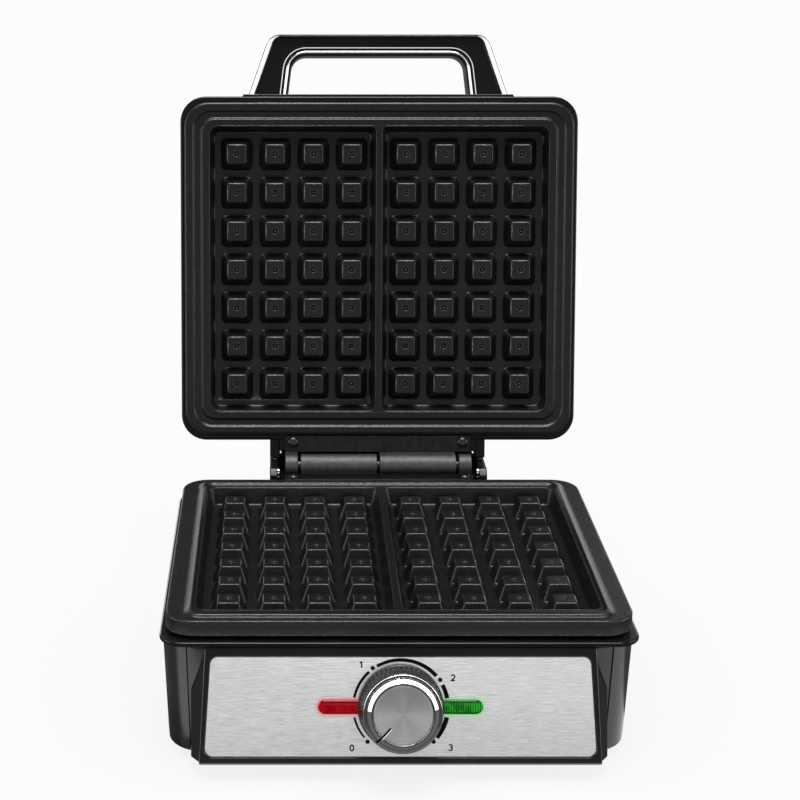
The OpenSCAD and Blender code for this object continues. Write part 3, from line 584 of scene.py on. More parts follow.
def plate_mesh(name, T, body, up, replaces, grow=0.0):
    bm = bmesh.new()
    # rim: from the mouth outwards over the bead, down the skirt, in under it and across the pan
    ang = [math.radians(a0 + 9 * k) for a0 in (-90, 0, 90, 180) for k in range(11)]

    def lift(t, side):
        """Height of the rim at distance t from its outer edge: a bead on the lower plate, its groove in the upper one."""
        if up:
            d = min(max((t - 4.9) / 1.6, 0), 1) * min(max((11.0 - t) / 1.6, 0), 1)
            return -1.25 * d * d * (3 - 2 * d)
        # flat-topped with steep flanks along the front and rear, a softer crown along the sides
        a0, a1, b0, b1 = (lerp(p, q, side) for p, q in zip((4.7, 6.1, 9.8, 11.3), (8.6, 12.6, 12.6, 14.3)))
        u, v = min(max((t - a0) / (a1 - a0), 0), 1), min(max((b1 - t) / (b1 - b0), 0), 1)
        return 1.3 * lerp(u * u * (3 - 2 * u), u * u, side) * v * v * (3 - 2 * v)

    re = 2.0 if up else 1.1
    prof = [(14.3, MOUTH, 1), (14.1, MOUTH, 1)]
    prof += [(13.9 - k * 0.36, MOUTH, 1) for k in range(31)]
    prof += [(t, z, 0) for t, z in arc_line([(re + 0.9, 78.5), (0.0, 78.5, re), (0.0, 76.2), (0.0, 71.3), (0.0, 70.6)], 8)]
    prof += [(t, z, 0) for t, z in [(0.25, 70.6), (2.6, 70.6), (2.8, 70.8), (2.8, 75.6), (3.2, 75.8), (11.6, 75.8), (12.1, 75.3), (12.1, 65.6), (12.8, 64.9)]]
    prof = [q for k, q in enumerate(prof) if not (k > 0 and q[2] and q[0] < re + 0.95)]
    rings = []
    for t_, z, top in prof:
        t = t_ / 14.8
        pts = ring_rr(237.6 + grow - (29.6 + grow) * t, 203 + grow - (28.2 + grow) * t, max(15 - 9.5 * t, 3), 10)
        rings.append([(x, y, z + (lift(t_, math.cos(a) ** 2) if top else 0.0)) for (x, y), a in zip(pts, ang)])
    v = loft(bm, rings, cap1=True)
    inner = v[0]
    # wells
    mouths = []
    for s in (-1, 1):
        xo, xi = 104.0, 1.55

        def bounds(o, i, y):
            return (-xo + o, -xi - i, -87.4 + y, 87.4 - y) if s < 0 else (xi + i, xo - o, -87.4 + y, 87.4 - y)

        K = 22
        wall = arc_line([(-0.5, MOUTH), (0.42, MOUTH, 0.6), (2.7, FLOOR, 1.2), (6.5, FLOOR)], 4)[:-1]
        rr = []
        for g, z in wall:
            inn = g if g <= 0.42 else 0.42 + (g - 0.42) * 1.22
            b = bounds(g, inn, g)
            ro, ri = max(6.0 - g * 0.6, 2.2), max(3.6 - g * 0.3, 1.8)
            rad = (ro, ri) if s < 0 else (ri, ro)
            rr.append([(x, y, z) for x, y in quad_ring(*b, rad, K)])
        wv = loft(bm, rr)
        mouths.append(wv[0])
        floor_ring = wv[-1]
        # cells of the block grid
        xs = [s * (MID / 2 + i * PITCH) for i in range(4)]
        xs.sort()
        ys = [i * PITCH for i in range(-3, 4)]
        gx = [xs[0] - 10.5] + [(a + b) / 2 for a, b in zip(xs[:-1], xs[1:])] + [xs[-1] + 10.5]
        gy = [ys[0] - 10.6] + [(a + b) / 2 for a, b in zip(ys[:-1], ys[1:])] + [ys[-1] + 10.6]
        KC = 10
        rings_c = block_rings()
        dim = dimple()
        cache = {}

        def V(x, y, z):
            key = (round(x, 3), round(y, 3), round(z, 3))
            if key not in cache:
                cache[key] = bm.verts.new((x, y, z))
            return cache[key]

        for ci, cx in enumerate(xs):
            for cj, cy in enumerate(ys):
                a0, a1, b0, b1 = gx[ci], gx[ci + 1], gy[cj], gy[cj + 1]
                ring = []
                for q, (p, e) in enumerate((((a0, b0), (a1, b0)), ((a1, b0), (a1, b1)), ((a1, b1), (a0, b1)), ((a0, b1), (a0, b0)))):
                    for k in range(KC):
                        ring.append(V(lerp(p[0], e[0], k / KC), lerp(p[1], e[1], k / KC), FLOOR))
                prev = ring
                for hw, rc, z in rings_c:
                    hw2 = min(hw, 10.3)
                    cur = [bm.verts.new((x, y, FLOOR + z)) for x, y in quad_ring(cx - hw2, cx + hw2, cy - hw2, cy + hw2, rc, KC)]
                    for i in range(4 * KC):
                        j = (i + 1) % (4 * KC)
                        bm.faces.new((prev[i], prev[j], cur[j], cur[i]))
                    prev = cur
                for rad, z in dim:
                    cur = []
                    for i in range(4 * KC):
                        a = math.radians(225) + 2 * math.pi * i / (4 * KC)
                        cur.append(bm.verts.new((cx + rad * math.cos(a), cy + rad * math.sin(a), FLOOR + z)))
                    for i in range(4 * KC):
                        j = (i + 1) % (4 * KC)
                        bm.faces.new((prev[i], prev[j], cur[j], cur[i]))
                    prev = cur
                bm.faces.new(prev)
        # flat strip between the grid and the foot of the wall
        edge = []
        for ci in range(4):
            for k in range(KC):
                edge.append((lerp(gx[ci], gx[ci + 1], k / KC), gy[0]))
        for cj in range(7):
            for k in range(KC):
                edge.append((gx[4], lerp(gy[cj], gy[cj + 1], k / KC)))
        for ci in range(4):
            for k in range(KC):
                edge.append((lerp(gx[4 - ci], gx[3 - ci], k / KC), gy[7]))
        for cj in range(7):
            for k in range(KC):
                edge.append((gx[0], lerp(gy[7 - cj], gy[6 - cj], k / KC)))
        ev = [V(x, y, FLOOR) for x, y in edge]
        polys = [[vv.co.copy() for vv in floor_ring], [vv.co.copy() for vv in ev]]
        allv = list(floor_ring) + ev
        for tri in tessellate_polygon(polys):
            try:
                bm.faces.new([allv[i] for i in tri])
            except ValueError:
                pass
    # flat top between the two mouths and the rim
    polys = [[vv.co.copy() for vv in inner]] + [[vv.co.copy() for vv in m] for m in mouths]
    allv = list(inner) + list(mouths[0]) + list(mouths[1])
    for tri in tessellate_polygon(polys):
        try:
            bm.faces.new([allv[i] for i in tri])
        except ValueError:
            pass
    if up:
        for vv in bm.verts:
            vv.co.z = 2 * JZ - vv.co.z
    return finish_mesh(bm, name, T, body, M["nonstick"], replaces, sharp=50, merge=0.002)


plate_mesh("lower_plate", T_BASE, "base", False, ["lower_cooking_plate"])
plate_mesh("upper_plate", T_LID, "lid", True, ["upper_cooking_plate"], 1.0)


# ------------------------------------------------------------------ base shell
def body_ring(z, g=0.0, rear=()):
    """Outline of the drafted body at height z, set in by g, with the step in its front corners."""
    t = (z - 9.0) / (RIM_LOW - 9.0)
    w, d, r = lerp(237, 241.8, t), lerp(204, 208.8, t), lerp(19.5, 25, t)
    phi = math.degrees(math.asin(1 - lerp(12.0, 13.0, t) / r))
    return [(x, y, z) for x, y in ring_rr(w - 2 * g, d - 2 * g, max(r - g, 2), 10, notch=(phi, 0.7))]


def plain_ring(w, d, r, z):
    return [(x, y, z) for x, y in ring_rr(w, d, r, 10, notch=(29.5, 0.0))]


def base_shell():
    bm = bmesh.new()
    rings = []
    rings.append(body_ring(9, 6.4)[:] if False else [(x, y, 4.75) for x, y, _ in body_ring(9, 6.3)])
    for g, z in arc_line([(6.2, 4.7), (0.25, 4.7, 1.7), (0.0, 12.0)], 8):
        rings.append([(x, y, z) for x, y, _ in body_ring(max(z, 9.0), g)])
    rings.append(body_ring(30))
    rings.append(body_ring(50))
    rings.append(body_ring(63.6))
    rings.append(body_ring(64.9, 0.15))
    rings.append(body_ring(65.5, 0.5))
    rings.append([(x, y, RIM_LOW - 0.2) for x, y, _ in body_ring(RIM_LOW, 2.5)])
    rings.append([(x, y, 9.0) for x, y, _ in body_ring(9, 2.5)])
    loft(bm, rings, around=True)
    finish_mesh(bm, "base_shell", T_BASE, "base", M["black_body"], ["base_housing"], sharp=40)
    # rim of the same moulding: overhanging lip with rounded edges
    bm = bmesh.new()
    rings = []
    rings.append(plain_ring(RIM_W - 1.9, RIM_D - 1.9, 11.6, RIM_LOW - 0.02))
    for g, z in arc_line([(0.9, RIM_LOW), (0.0, RIM_LOW, 0.55), (0.0, RIM_TOP, 0.8), (2.0, RIM_TOP)], 4):
        rings.append(plain_ring(RIM_W - 2 * g, RIM_D - 2 * g, 12.5 - g, z))
    rings.append(plain_ring(220, 186, 13.5, RIM_TOP))
    rings.append(plain_ring(216.8, 182.8, 13.2, RIM_TOP - 0.2))
    rings.append(plain_ring(216.4, 182.4, 13, RIM_TOP - 0.6))
    rings.append(plain_ring(216.4, 182.4, 13, RIM_LOW - 0.02))
    loft(bm, rings, around=True)
    finish_mesh(bm, "base_rim", T_BASE, "base", M["black_rim"], [], sharp=40)


def hinge_outline(g, front=90.0):
    pts = [(-66.9 - g, front), (66.9 + g, front)]
    for k in range(9):
        a = math.radians(90 * k / 8)
        pts.append((58.9 + (8 + g) * math.cos(a), 134 + (8 + g) * math.sin(a)))
    for k in range(9):
        a = math.radians(90 + 90 * k / 8)
        pts.append((-58.9 + (8 + g) * math.cos(a), 134 + (8 + g) * math.sin(a)))
    return pts


def hinge_tower():
    """Rear tower of the base that carries the hinge, hollow from below, with the stop ears on top."""
    bm = bmesh.new()
    rings = [[(x, y, 66.0) for x, y in hinge_outline(-3.2, 100)], [(x, y, 4.7) for x, y in hinge_outline(-3.2, 100)]]
    for g, z in arc_line([(-3.0, 4.7), (-0.4, 4.7, 1.8), (0.0, 9.0), (0.0, 72.0, 1.2), (-3.0, 72.0)], 5):
        rings.append([(x, y, z) for x, y in hinge_outline(g, 103.2)])
    loft(bm, rings, cap0=True, cap1=True)
    # seat of the lower leaf
    box(bm, -57.9, 57.9, 103.4, 112.7, 70, 73.9, 0.4)
    # ears and pads
    for s in (-1, 1):
        x0, x1 = (62.1, 66.9) if s > 0 else (-66.9, -62.1)
        prism(bm, [(112, 70), (141, 70), (141, 76.5), (137.5, 80.2), (115.5, 80.2), (112, 76.5)], "X", x0, x1, 0.7, 3)
        a, b = (62.6, 65.6) if s > 0 else (-65.6, -62.6)
        box(bm, a, b, 129, 138, 79, 81.85, 0.5)
    # wall behind the hinge
    prism(bm, [(-66.9, 70), (66.9, 70), (66.9, 81.3), (59.9, 81.3), (59.9, 83.5), (-59.9, 83.5), (-59.9, 81.3), (-66.9, 81.3)], "Y", 137.6, 141, 0.5, 2)
    finish_mesh(bm, "hinge_tower", T_BASE, "base", M["black_body"], [], sharp=34)


base_shell()
hinge_tower()


# ------------------------------------------------------------------ hinge: two cast brackets, screws and rivets
LEAF_TOP, LEAF_T, BARREL = HZ - 2.65, 4.0, 6.95


def turned(bm, prof, x, y, z, axis, n=64):
    """Closed solid turned about an axis through (x, y, z); prof is (radius, along) and closes on itself."""
    tmp = bmesh.new()
    lathe(tmp, prof, n=n, around=True)
    R = {"X": rot(90, "Y"), "-X": rot(-90, "Y"), "Z": Matrix.Identity(4)}[axis].to_3x3()
    for v in tmp.verts:
        v.co = R @ v.co + Vector((x, y, z))
    me = bpy.data.meshes.new("tmp")
    tmp.to_mesh(me)
    tmp.free()
    bm.from_mesh(me)
    bpy.data.meshes.remove(me)


def bracket_mesh(name, T, body, replaces):
    bm = bmesh.new()
    y0, y1 = HY - 18.3, HY - BARREL - 0.8
    z0, z1 = LEAF_TOP - LEAF_T, LEAF_TOP
    # leaf with round outer corners
    out = []
    for cx, cy, a0 in ((57.4 - 1.2, y0 + 1.2, -90), (57.4 - 0.6, y1 - 0.6, 0), (-57.4 + 0.6, y1 - 0.6, 90), (-57.4 + 1.2, y0 + 1.2, 180)):
        r = 1.2 if cy < HY - 12 else 0.6
        for k in range(5):
            a = math.radians(a0 + 90 * k / 4)
            out.append((cx + r * math.cos(a), cy + r * math.sin(a)))
    prism(bm, out, "Z", z0, z1, 0.45, 3, 40)
    bar = bmesh.new()
    for x0, x1 in ((-47.9, -0.9), (49.6, 57.4)):
        box(bar, x0 + 0.05, x1 - 0.05, y0 + 4, HY - 1, z0 + 0.05, z1 - 0.35, 0.4, 2)
        L = x1 - x0
        turned(bar, arc_line([(3.05, L / 2), (3.05, 0.25), (3.4, 0.0), (BARREL, 0.0, 0.5), (BARREL, L, 0.5), (3.4, L), (3.05, L - 0.25), (3.05, L / 2 + 0.01)], 4), x0, HY, HZ, "X", 72)
    # low ring round each screw
    for s in (-1, 1):
        turned(bm, arc_line([(3.55, z1 - 0.5), (3.55, z1 + 0.18, 0.12), (4.35, z1 + 0.18, 0.15), (4.5, z1 - 0.5)], 3), s * 52.5, HY - 13.9, 0, "Z", 48)
    finish_mesh(bm, name, T, body, M["cast_black"], replaces, sharp=38)
    finish_mesh(bar, name.replace("bracket", "barrels"), T, body, M["cast_barrel"], [], sharp=38)


def screw_head(bm, x, y, z, r, h, turn):
    """Pan head with a cross recess; the axis is Z and the head stands up from z."""
    rings = []
    for rr, zz in arc_line([(r, 0.0), (r, h * 0.45, r * 0.28), (r * 0.55, h, r * 0.6), (r * 0.50, h)], 5):
        rings.append([(x + rr * math.cos(2 * math.pi * k / 48), y + rr * math.sin(2 * math.pi * k / 48), z + zz) for k in range(48)])
    top = loft(bm, rings, cap0=True)[-1]
    a, b = r * 0.46, r * 0.13
    line = [(a, -b), (a, b), (b, b), (b, a), (-b, a), (-b, b), (-a, b), (-a, -b), (-b, -b), (-b, -a), (b, -a), (b, -b)]
    ca, sa = math.cos(math.radians(turn)), math.sin(math.radians(turn))
    lp = [(x + u * ca - v * sa, y + u * sa + v * ca) for u, v in line]
    rec = loft(bm, [[(u, v, z + h) for u, v in lp], [(u, v, z + h - 0.9) for u, v in lp]])
    bm.faces.new(rec[1])
    allv = list(top) + list(rec[0])
    for tri in tessellate_polygon([[v.co.copy() for v in top], [v.co.copy() for v in rec[0]]]):
        try:
            bm.faces.new([allv[i] for i in tri])
        except ValueError:
            pass


def hinge_parts():
    T_UP = T_LID @ tr(0, 0, 2 * HZ) @ rot(180, "Y")
    bracket_mesh("lower_bracket_cast", T_BASE, "base", ["lower_hinge_bracket"])
    bracket_mesh("upper_bracket_cast", T_UP, "lid", ["upper_hinge_bracket"])
    for name, T, body, rep_ in (("lower_bracket_screws", T_BASE, "base", "lower_hinge_screws"), ("upper_bracket_screws", T_UP, "lid", "upper_hinge_screws")):
        bm = bmesh.new()
        for s in (-1, 1):
            screw_head(bm, s * 52.5, HY - 13.9, LEAF_TOP, 3.3, 1.85, 20 + 31 * s)
            turned(bm, [(0.4, LEAF_TOP - 12), (1.5, LEAF_TOP - 11.4), (1.7, LEAF_TOP - 10.6), (1.7, LEAF_TOP + 0.4), (0.4, LEAF_TOP + 0.4)], s * 52.5, HY - 13.9, 0, "Z", 24)
        finish_mesh(bm, name, T, body, M["screw_black"], [rep_], sharp=40)
    bm = bmesh.new()
    for s in (-1, 1):
        turned(bm, arc_line([(0.3, 60.25), (2.2, 60.3, 1.0), (3.35, 61.0, 0.8), (3.35, 62.05), (2.0, 62.1), (2.0, 66.3), (0.3, 66.3)], 4), 0, HY, 75.6, "X" if s > 0 else "-X", 40)
    finish_mesh(bm, "hinge_rivets_bright", T_BASE, "base", M["chrome"], ["hinge_ear_rivets"], sharp=40)


hinge_parts()


# ------------------------------------------------------------------ lid shell, drawn closed
def lid_ring(w, d, r, z, rear_z=None):
    rear = (60.0, 58.4, 58.3, -58.3, -58.4, -60.0)
    out = []
    for x, y in ring_rr(w, d, r, 10, rear=rear):
        zz = z
        if rear_z is not None and y > d / 2 - 0.01 and abs(x) < 58.35:
            zz = max(z, rear_z)
        out.append((x, y, zz))
    return out


def lid_shell():
    bm = bmesh.new()
    W, D = RIM_W, RIM_D + 1
    R = []
    # inside, from the ceiling down to the deck and the pan opening
    R.append(lid_ring(202, 169, 18, LID_TOP - 2.6))
    R.append(lid_ring(222, 189, 26, LID_TOP - 10))
    R.append(lid_ring(231, 198, 30, 95.0))
    R.append(lid_ring(231, 198, 30, 94.2))
    R.append(lid_ring(216.4, 182.4, 13, 94.2))
    R.append(lid_ring(216.4, 182.4, 13, 92.2))
    R.append(lid_ring(217.2, 183.2, 13.4, 91.8))
    R.append(lid_ring(238.4, 203.8, 15.4, 91.8))
    R.append(lid_ring(239.2, 204.6, 15.8, 91.2))
    R.append(lid_ring(239.2, 204.6, 15.8, LID_RIM + 0.4, 87.5))
    R.append(lid_ring(239.7, 205.1, 15.6, LID_RIM, 87.35))
    for g, z in arc_line([(1.5, LID_RIM), (0.0, LID_RIM, 1.0), (0.0, 91.6, 1.3), (1.7, 91.6, 0.5), (5.6, 107.3, 9.0), (16.6, LID_TOP, 7.0), (20.7, LID_TOP), ], 6)[1:]:
        r = lerp(15.5, 34, min(max((z - 91.6) / 1.0, 0), 1)) if z > 91.0 else 15.5 - g
        r = 15.5 - g if z <= 91.7 and g < 1.4 else max(34.0 - max(g - 1.6, 0) * 1.0, 15.5)
        R.append(lid_ring(W - 2 * g, D - 2 * g, r, z, 87.35 if z < 87.35 else None))
    R.append(lid_ring(201.0, 168.0, 15.9, LID_TOP))
    R.append(lid_ring(200.9, 167.9, 15.8, LID_TOP - 0.9))
    loft(bm, R, cap0=True, cap1=True)
    # pad over the hinge leaf
    box(bm, -60.7, 60.7, 97, 112.8, 87.3, 102.2, 0.8)
    # ears that stand on the base when open
    for s in (-1, 1):
        x0, x1 = (60.6, 66.9) if s > 0 else (-66.9, -60.6)
        prism(bm, [(96, 88.5), (117.18, 88.5), (111.68, 112.8), (96, 112.8)], "X", x0, x1, 0.8, 3)
    # foot of the handle
    prism(bm, [(-83.5, 98), (83.5, 98), (83.5, 117), (-83.5, 117)], "Y", -107.8, -98, 0.5, 3)
    for s in (-1, 1):
        prism(bm, [(s * 83, -98), (s * 83, -107.2), (s * 87.5, -104.6), (s * 87.5, -98)], "Z", 99, 116, 0.5, 3)
    finish_mesh(bm, "lid_shell", T_LID, "lid", M["black_gloss"], ["lid_housing"], sharp=34)
    # steel inlay of the lid's top
    bm = bmesh.new()
    R = [plain for plain in (
        [(x, y, LID_TOP - 0.8) for x, y in ring_rr(200.6, 167.6, 15.7, 10)],
        [(x, y, LID_TOP - 0.25) for x, y in ring_rr(200.6, 167.6, 15.7, 10)],
        [(x, y, LID_TOP - 0.05) for x, y in ring_rr(200.3, 167.3, 15.6, 10)],
        [(x, y, LID_TOP) for x, y in ring_rr(199.8, 166.8, 15.3, 10)],
        [(x, y, LID_TOP) for x, y in ring_rr(190, 157, 12, 10)])]
    loft(bm, R, cap0=True, cap1=True)
    finish_mesh(bm, "lid_steel_inlay", T_LID, "lid", M["steel_lid"], ["lid_top_panel"], sharp=40)


lid_shell()


# ------------------------------------------------------------------ handle bow, in the closed lid's frame
def bow_path(kind, g, nleg=3, nc=9, ntop=6):
    """Open line from the right foot to the left foot: X and distance out from the lid's edge."""
    if kind == "outer":
        g, t = g if isinstance(g, tuple) else (g, g)
        a, top, x0, R = 19.5, BOW_H - t, 79.6 - g / math.cos(math.radians(19.5)), 10.0 - (g + t) / 2
    else:
        a, top, x0, R = 7.0, BOW_H - 13.2 + g, 55.3 + g / math.cos(math.radians(7.0)), 9.0 + g
    R = max(R, 0.6)
    ar = math.radians(a)
    cx = x0 - math.tan(ar) * (top - R) - R / math.cos(ar)
    sx, sy = cx + R * math.cos(ar), top - R + R * math.sin(ar)
    half = [(lerp(x0 + BOW_F * math.tan(ar), sx, i / nleg), lerp(-BOW_F, sy, i / nleg)) for i in range(nleg)]
    half += [(cx + R * math.cos(lerp(ar, math.pi / 2, i / nc)), top - R + R * math.sin(lerp(ar, math.pi / 2, i / nc))) for i in range(nc + 1)]
    half += [(lerp(cx, 0, i / ntop), top) for i in range(1, ntop)]
    return half + [(0.0, top)] + [(-x, y) for x, y in reversed(half)]


def bow_curve(kind, g, z):
    return [(x, BOW_Y0 - y, BOW_Z0 + z) for x, y in bow_path(kind, g)]


def bow_piece(name, section, mat, replaces):
    bm = bmesh.new()
    v = loft(bm, [bow_curve(*s) for s in section], closed=False, around=True)
    bm.faces.new([r[0] for r in v])
    bm.faces.new([r[-1] for r in reversed(v)])
    return finish_mesh(bm, name, T_LID, "lid", mat, replaces, sharp=30)


def og(leg, top):
    return (leg, top)


bow_piece("handle_bow_body", [
    ("outer", og(3.65, 1.35), 1.3), ("outer", og(3.8, 1.5), 0.9), ("outer", og(4.1, 1.8), 0.65), ("outer", og(5.3, 4.9), 0.12), ("outer", og(5.6, 5.2), 0.0),
    ("inner", 5.7, 0.0), ("inner", 5.45, 0.05), ("inner", 5.25, 0.22), ("inner", 5.1, 0.6), ("inner", 3.3, 0.9),
    ("inner", 1.55, 0.9), ("inner", 1.5, 0.35), ("inner", 1.3, 0.1), ("inner", 0.9, 0.02), ("inner", 0.45, 0.15), ("inner", 0.1, 0.5), ("inner", 0.0, 1.1),
    ("inner", 0.0, 14.8), ("inner", 0.35, 15.6), ("inner", 1.1, 16.0), ("outer", og(4.6, 2.6), 16.0), ("outer", og(4.0, 1.8), 15.75), ("outer", og(3.65, 1.35), 15.2)],
    M["black_gloss"], ["handle_bow"])
bow_piece("handle_chrome_band", [
    ("outer", og(3.6, 1.3), 0.1), ("outer", og(3.5, 1.2), -0.2), ("outer", og(3.2, 1.0), -0.42), ("outer", og(1.9, 0.75), -0.6), ("outer", og(0.75, 0.45), -0.5), ("outer", og(0.25, 0.2), -0.05), ("outer", 0.0, 0.7),
    ("outer", 0.0, 15.3), ("outer", og(0.25, 0.2), 16.05), ("outer", og(0.75, 0.45), 16.5), ("outer", og(1.9, 0.75), 16.6), ("outer", og(3.3, 1.1), 16.45), ("outer", og(3.6, 1.3), 16.0)],
    M["chrome"], ["handle_outer_trim"])
bow_piece("handle_chrome_inlay", [
    ("inner", 1.6, 0.85), ("inner", 1.6, 0.1), ("inner", 1.75, -0.1), ("inner", 2.1, -0.27), ("inner", 2.45, -0.3), ("inner", 2.8, -0.2), ("inner", 3.05, 0.0), ("inner", 3.2, 0.25), ("inner", 3.2, 0.85)],
    M["chrome"], ["handle_inner_trim"])

# painted highlight: a thin chrome strip on the step of the bow's black face, standing in for the glint of light along
# that edge
bow_piece("handle_fine_line", [
    ("inner", 5.3, 0.5), ("inner", 5.3, 0.02), ("inner", 5.2, -0.12), ("inner", 4.85, -0.14), ("inner", 4.72, 0.0), ("inner", 4.72, 0.8)],
    M["chrome"], [])


# ------------------------------------------------------------------ control panel
def panel_loop(g, z, n=8):
    r = max(4.2 - g * 0.6, 0.6)
    h = 25.4 - g
    pk = 0.053
    xt, xb = 96.9 - pk * 25.4 - g, 96.9 + pk * 25.4 - g
    a = math.degrees(math.atan((xb - xt) / (2 * h - 2 * r)))
    out = []
    for (cx, cy), f, t in (((xt - r, h - r), 90, a), ((xb - r, r - h), a, -90), ((r - xb, r - h), 270, 180 - a), ((r - xt, h - r), 180 - a, 90)):
        for i in range(n + 1):
            b = math.radians(lerp(f, t, i / n))
            out.append((cx + r * math.cos(b), cy + r * math.sin(b), z))
    return out


def slot_loop(s, g, z, n=8):
    """Outline of a lamp window, grown by g."""
    out = []
    for i in range(n + 1):
        b = math.radians(lerp(-90, 90, i / n))
        out.append((37.8 + (3.5 + g) * math.cos(b), (3.5 + g) * math.sin(b), z))
    out += [(17 - g, 3.5 + g, z), (17 - g, -3.5 - g, z)]
    return [(s * x, y, zz) for x, y, zz in (out if s > 0 else list(reversed(out)))]


def circle_loop(r, z, n=32):
    return [(r * math.cos(2 * math.pi * i / n), r * math.sin(2 * math.pi * i / n), z) for i in range(n)]


def bezel_loop(width, yb, yt, depth, r=0.6, n=8):
    """Outline of the bezel; width(y) is the half width there and depth(y) how far out of the panel's plane the point lies."""
    a = math.degrees(math.atan(0.053))
    out = []
    for cx, cy, f, t in ((1, yt - r, 90, a), (1, yb + r, a, -90), (-1, yb + r, 270, 180 - a), (-1, yt - r, 180 - a, 90)):
        for i in range(n + 1):
            b = math.radians(lerp(f, t, i / n))
            y = cy + r * math.sin(b)
            out.append((cx * (width(cy) - r) + r * math.cos(b), y, depth(y)))
    return out


def bezel():
    """Raised frame round the steel: flat front, 45 degree lower lip, sides that step back and then splay out to the body."""
    bm = bmesh.new()

    def W(g=0.0):
        return lambda y: 99.65 - 0.053 * y - g

    def top(z):
        return (28.1 - 0.284 * z) / 0.959

    def low(z):
        return -29.49 + 0.219 * (-0.565 - z)

    def flat(z):
        return lambda y: z

    def splay(dx, dt):
        """Where the splayed side reaches its outer straight face, moved by dx and dt for the rounding of that edge."""
        return (lambda y: 105.6 + dx), (lambda y: -(3.1 + (105.6 - (99.65 - 0.053 * y)) / 0.709 + dt))

    def back(y):
        return (-24.5 + 0.284 * y) / 0.959

    R = [panel_loop(2.2, -0.85), panel_loop(-0.15, -0.85), panel_loop(-0.15, 0.38), panel_loop(-0.22, 0.53), panel_loop(-0.37, 0.6)]
    R.append(bezel_loop(W(0.42), -28.25, top(0.6) - 0.2, flat(0.6)))
    R.append(bezel_loop(W(0.2), -28.42, top(0.5), flat(0.54)))
    R.append(bezel_loop(W(0.05), -28.60, top(0.4), flat(0.38)))
    R.append(bezel_loop(W(0), -28.85, top(0.1), flat(0.12)))
    R.append(bezel_loop(W(0), -29.30, top(-0.4), flat(-0.36)))
    R.append(bezel_loop(W(0), -29.47, top(-0.8), flat(-0.75)))
    R.append(bezel_loop(W(0), low(-1.2), top(-1.2), flat(-1.2)))
    R.append(bezel_loop(W(0), low(-3.0), top(-3.0), flat(-3.0)))
    R.append(bezel_loop(W(-0.1), low(-3.25), top(-3.25), flat(-3.25)))
    for dx, dt in ((-0.35, -0.494), (-0.1, 0.0), (0.0, 0.45)):
        w, dpt = splay(dx, dt)
        R.append(bezel_loop(w, low(-10.0), top(-13.9), dpt))
    R.append(bezel_loop(lambda y: 105.6, low(-32.4), top(-15.6), back))
    R.append([(x, y, back(y)) for x, y, _ in panel_loop(2.2, 0)])
    loft(bm, R, around=True)
    finish_mesh(bm, "control_bezel_frame", T_PANEL, "base", M["black_gloss"], ["control_bezel"], sharp=42)


bezel()


def front_plate():
    bm = bmesh.new()
    out = loft(bm, [panel_loop(0, -0.8), panel_loop(0, -0.22), panel_loop(0.1, -0.1), panel_loop(0.5, 0.0)])
    holes = []
    for f in (lambda g, z: slot_loop(-1, g, z), lambda g, z: slot_loop(1, g, z), lambda g, z: circle_loop(5.2 + g, z)):
        holes.append(loft(bm, [f(0.28, 0.0), f(0.12, -0.06), f(0.1, -0.2), f(0.1, -0.8)]))
    for k, z in ((-1, 0), (0, -1)):
        loops = [out[k if k == -1 else 0]] + [h[0 if k == -1 else -1] for h in holes]
        allv = [v for l in loops for v in l]
        for tri in tessellate_polygon([[v.co.copy() for v in l] for l in loops]):
            try:
                bm.faces.new([allv[i] for i in tri])
            except ValueError:
                pass
    finish_mesh(bm, "front_steel", T_PANEL, "base", M["steel_brushed"], ["front_panel_plate"], sharp=60)


front_plate()

# windows: raised lens with a soft edge, and upright ribs over its middle
for s, nm, mt in ((-1, "red_window_lens", "red_lens"), (1, "green_window_lens", "green_lens")):
    bm = bmesh.new()
    loft(bm, [slot_loop(s, 1.2, -4.5), slot_loop(s, 1.2, -3.3), slot_loop(s, 0, -3.2), slot_loop(s, 0, 0.25), slot_loop(s, -0.12, 0.62),
              slot_loop(s, -0.45, 0.88), slot_loop(s, -0.9, 0.97), slot_loop(s, -1.6, 1.0)], cap0=True, cap1=True)
    x = 20.0
    while x < 38.5:
        box(bm, min(s * x, s * (x + 0.42)), max(s * x, s * (x + 0.42)), -1.7, 1.7, 0.9, 1.0 + 0.12, 0.08, 1)
        x += 0.95
    finish_mesh(bm, nm, T_PANEL, "base", M[mt], ["red_lamp_lens" if s < 0 else "green_lamp_lens"], sharp=35)


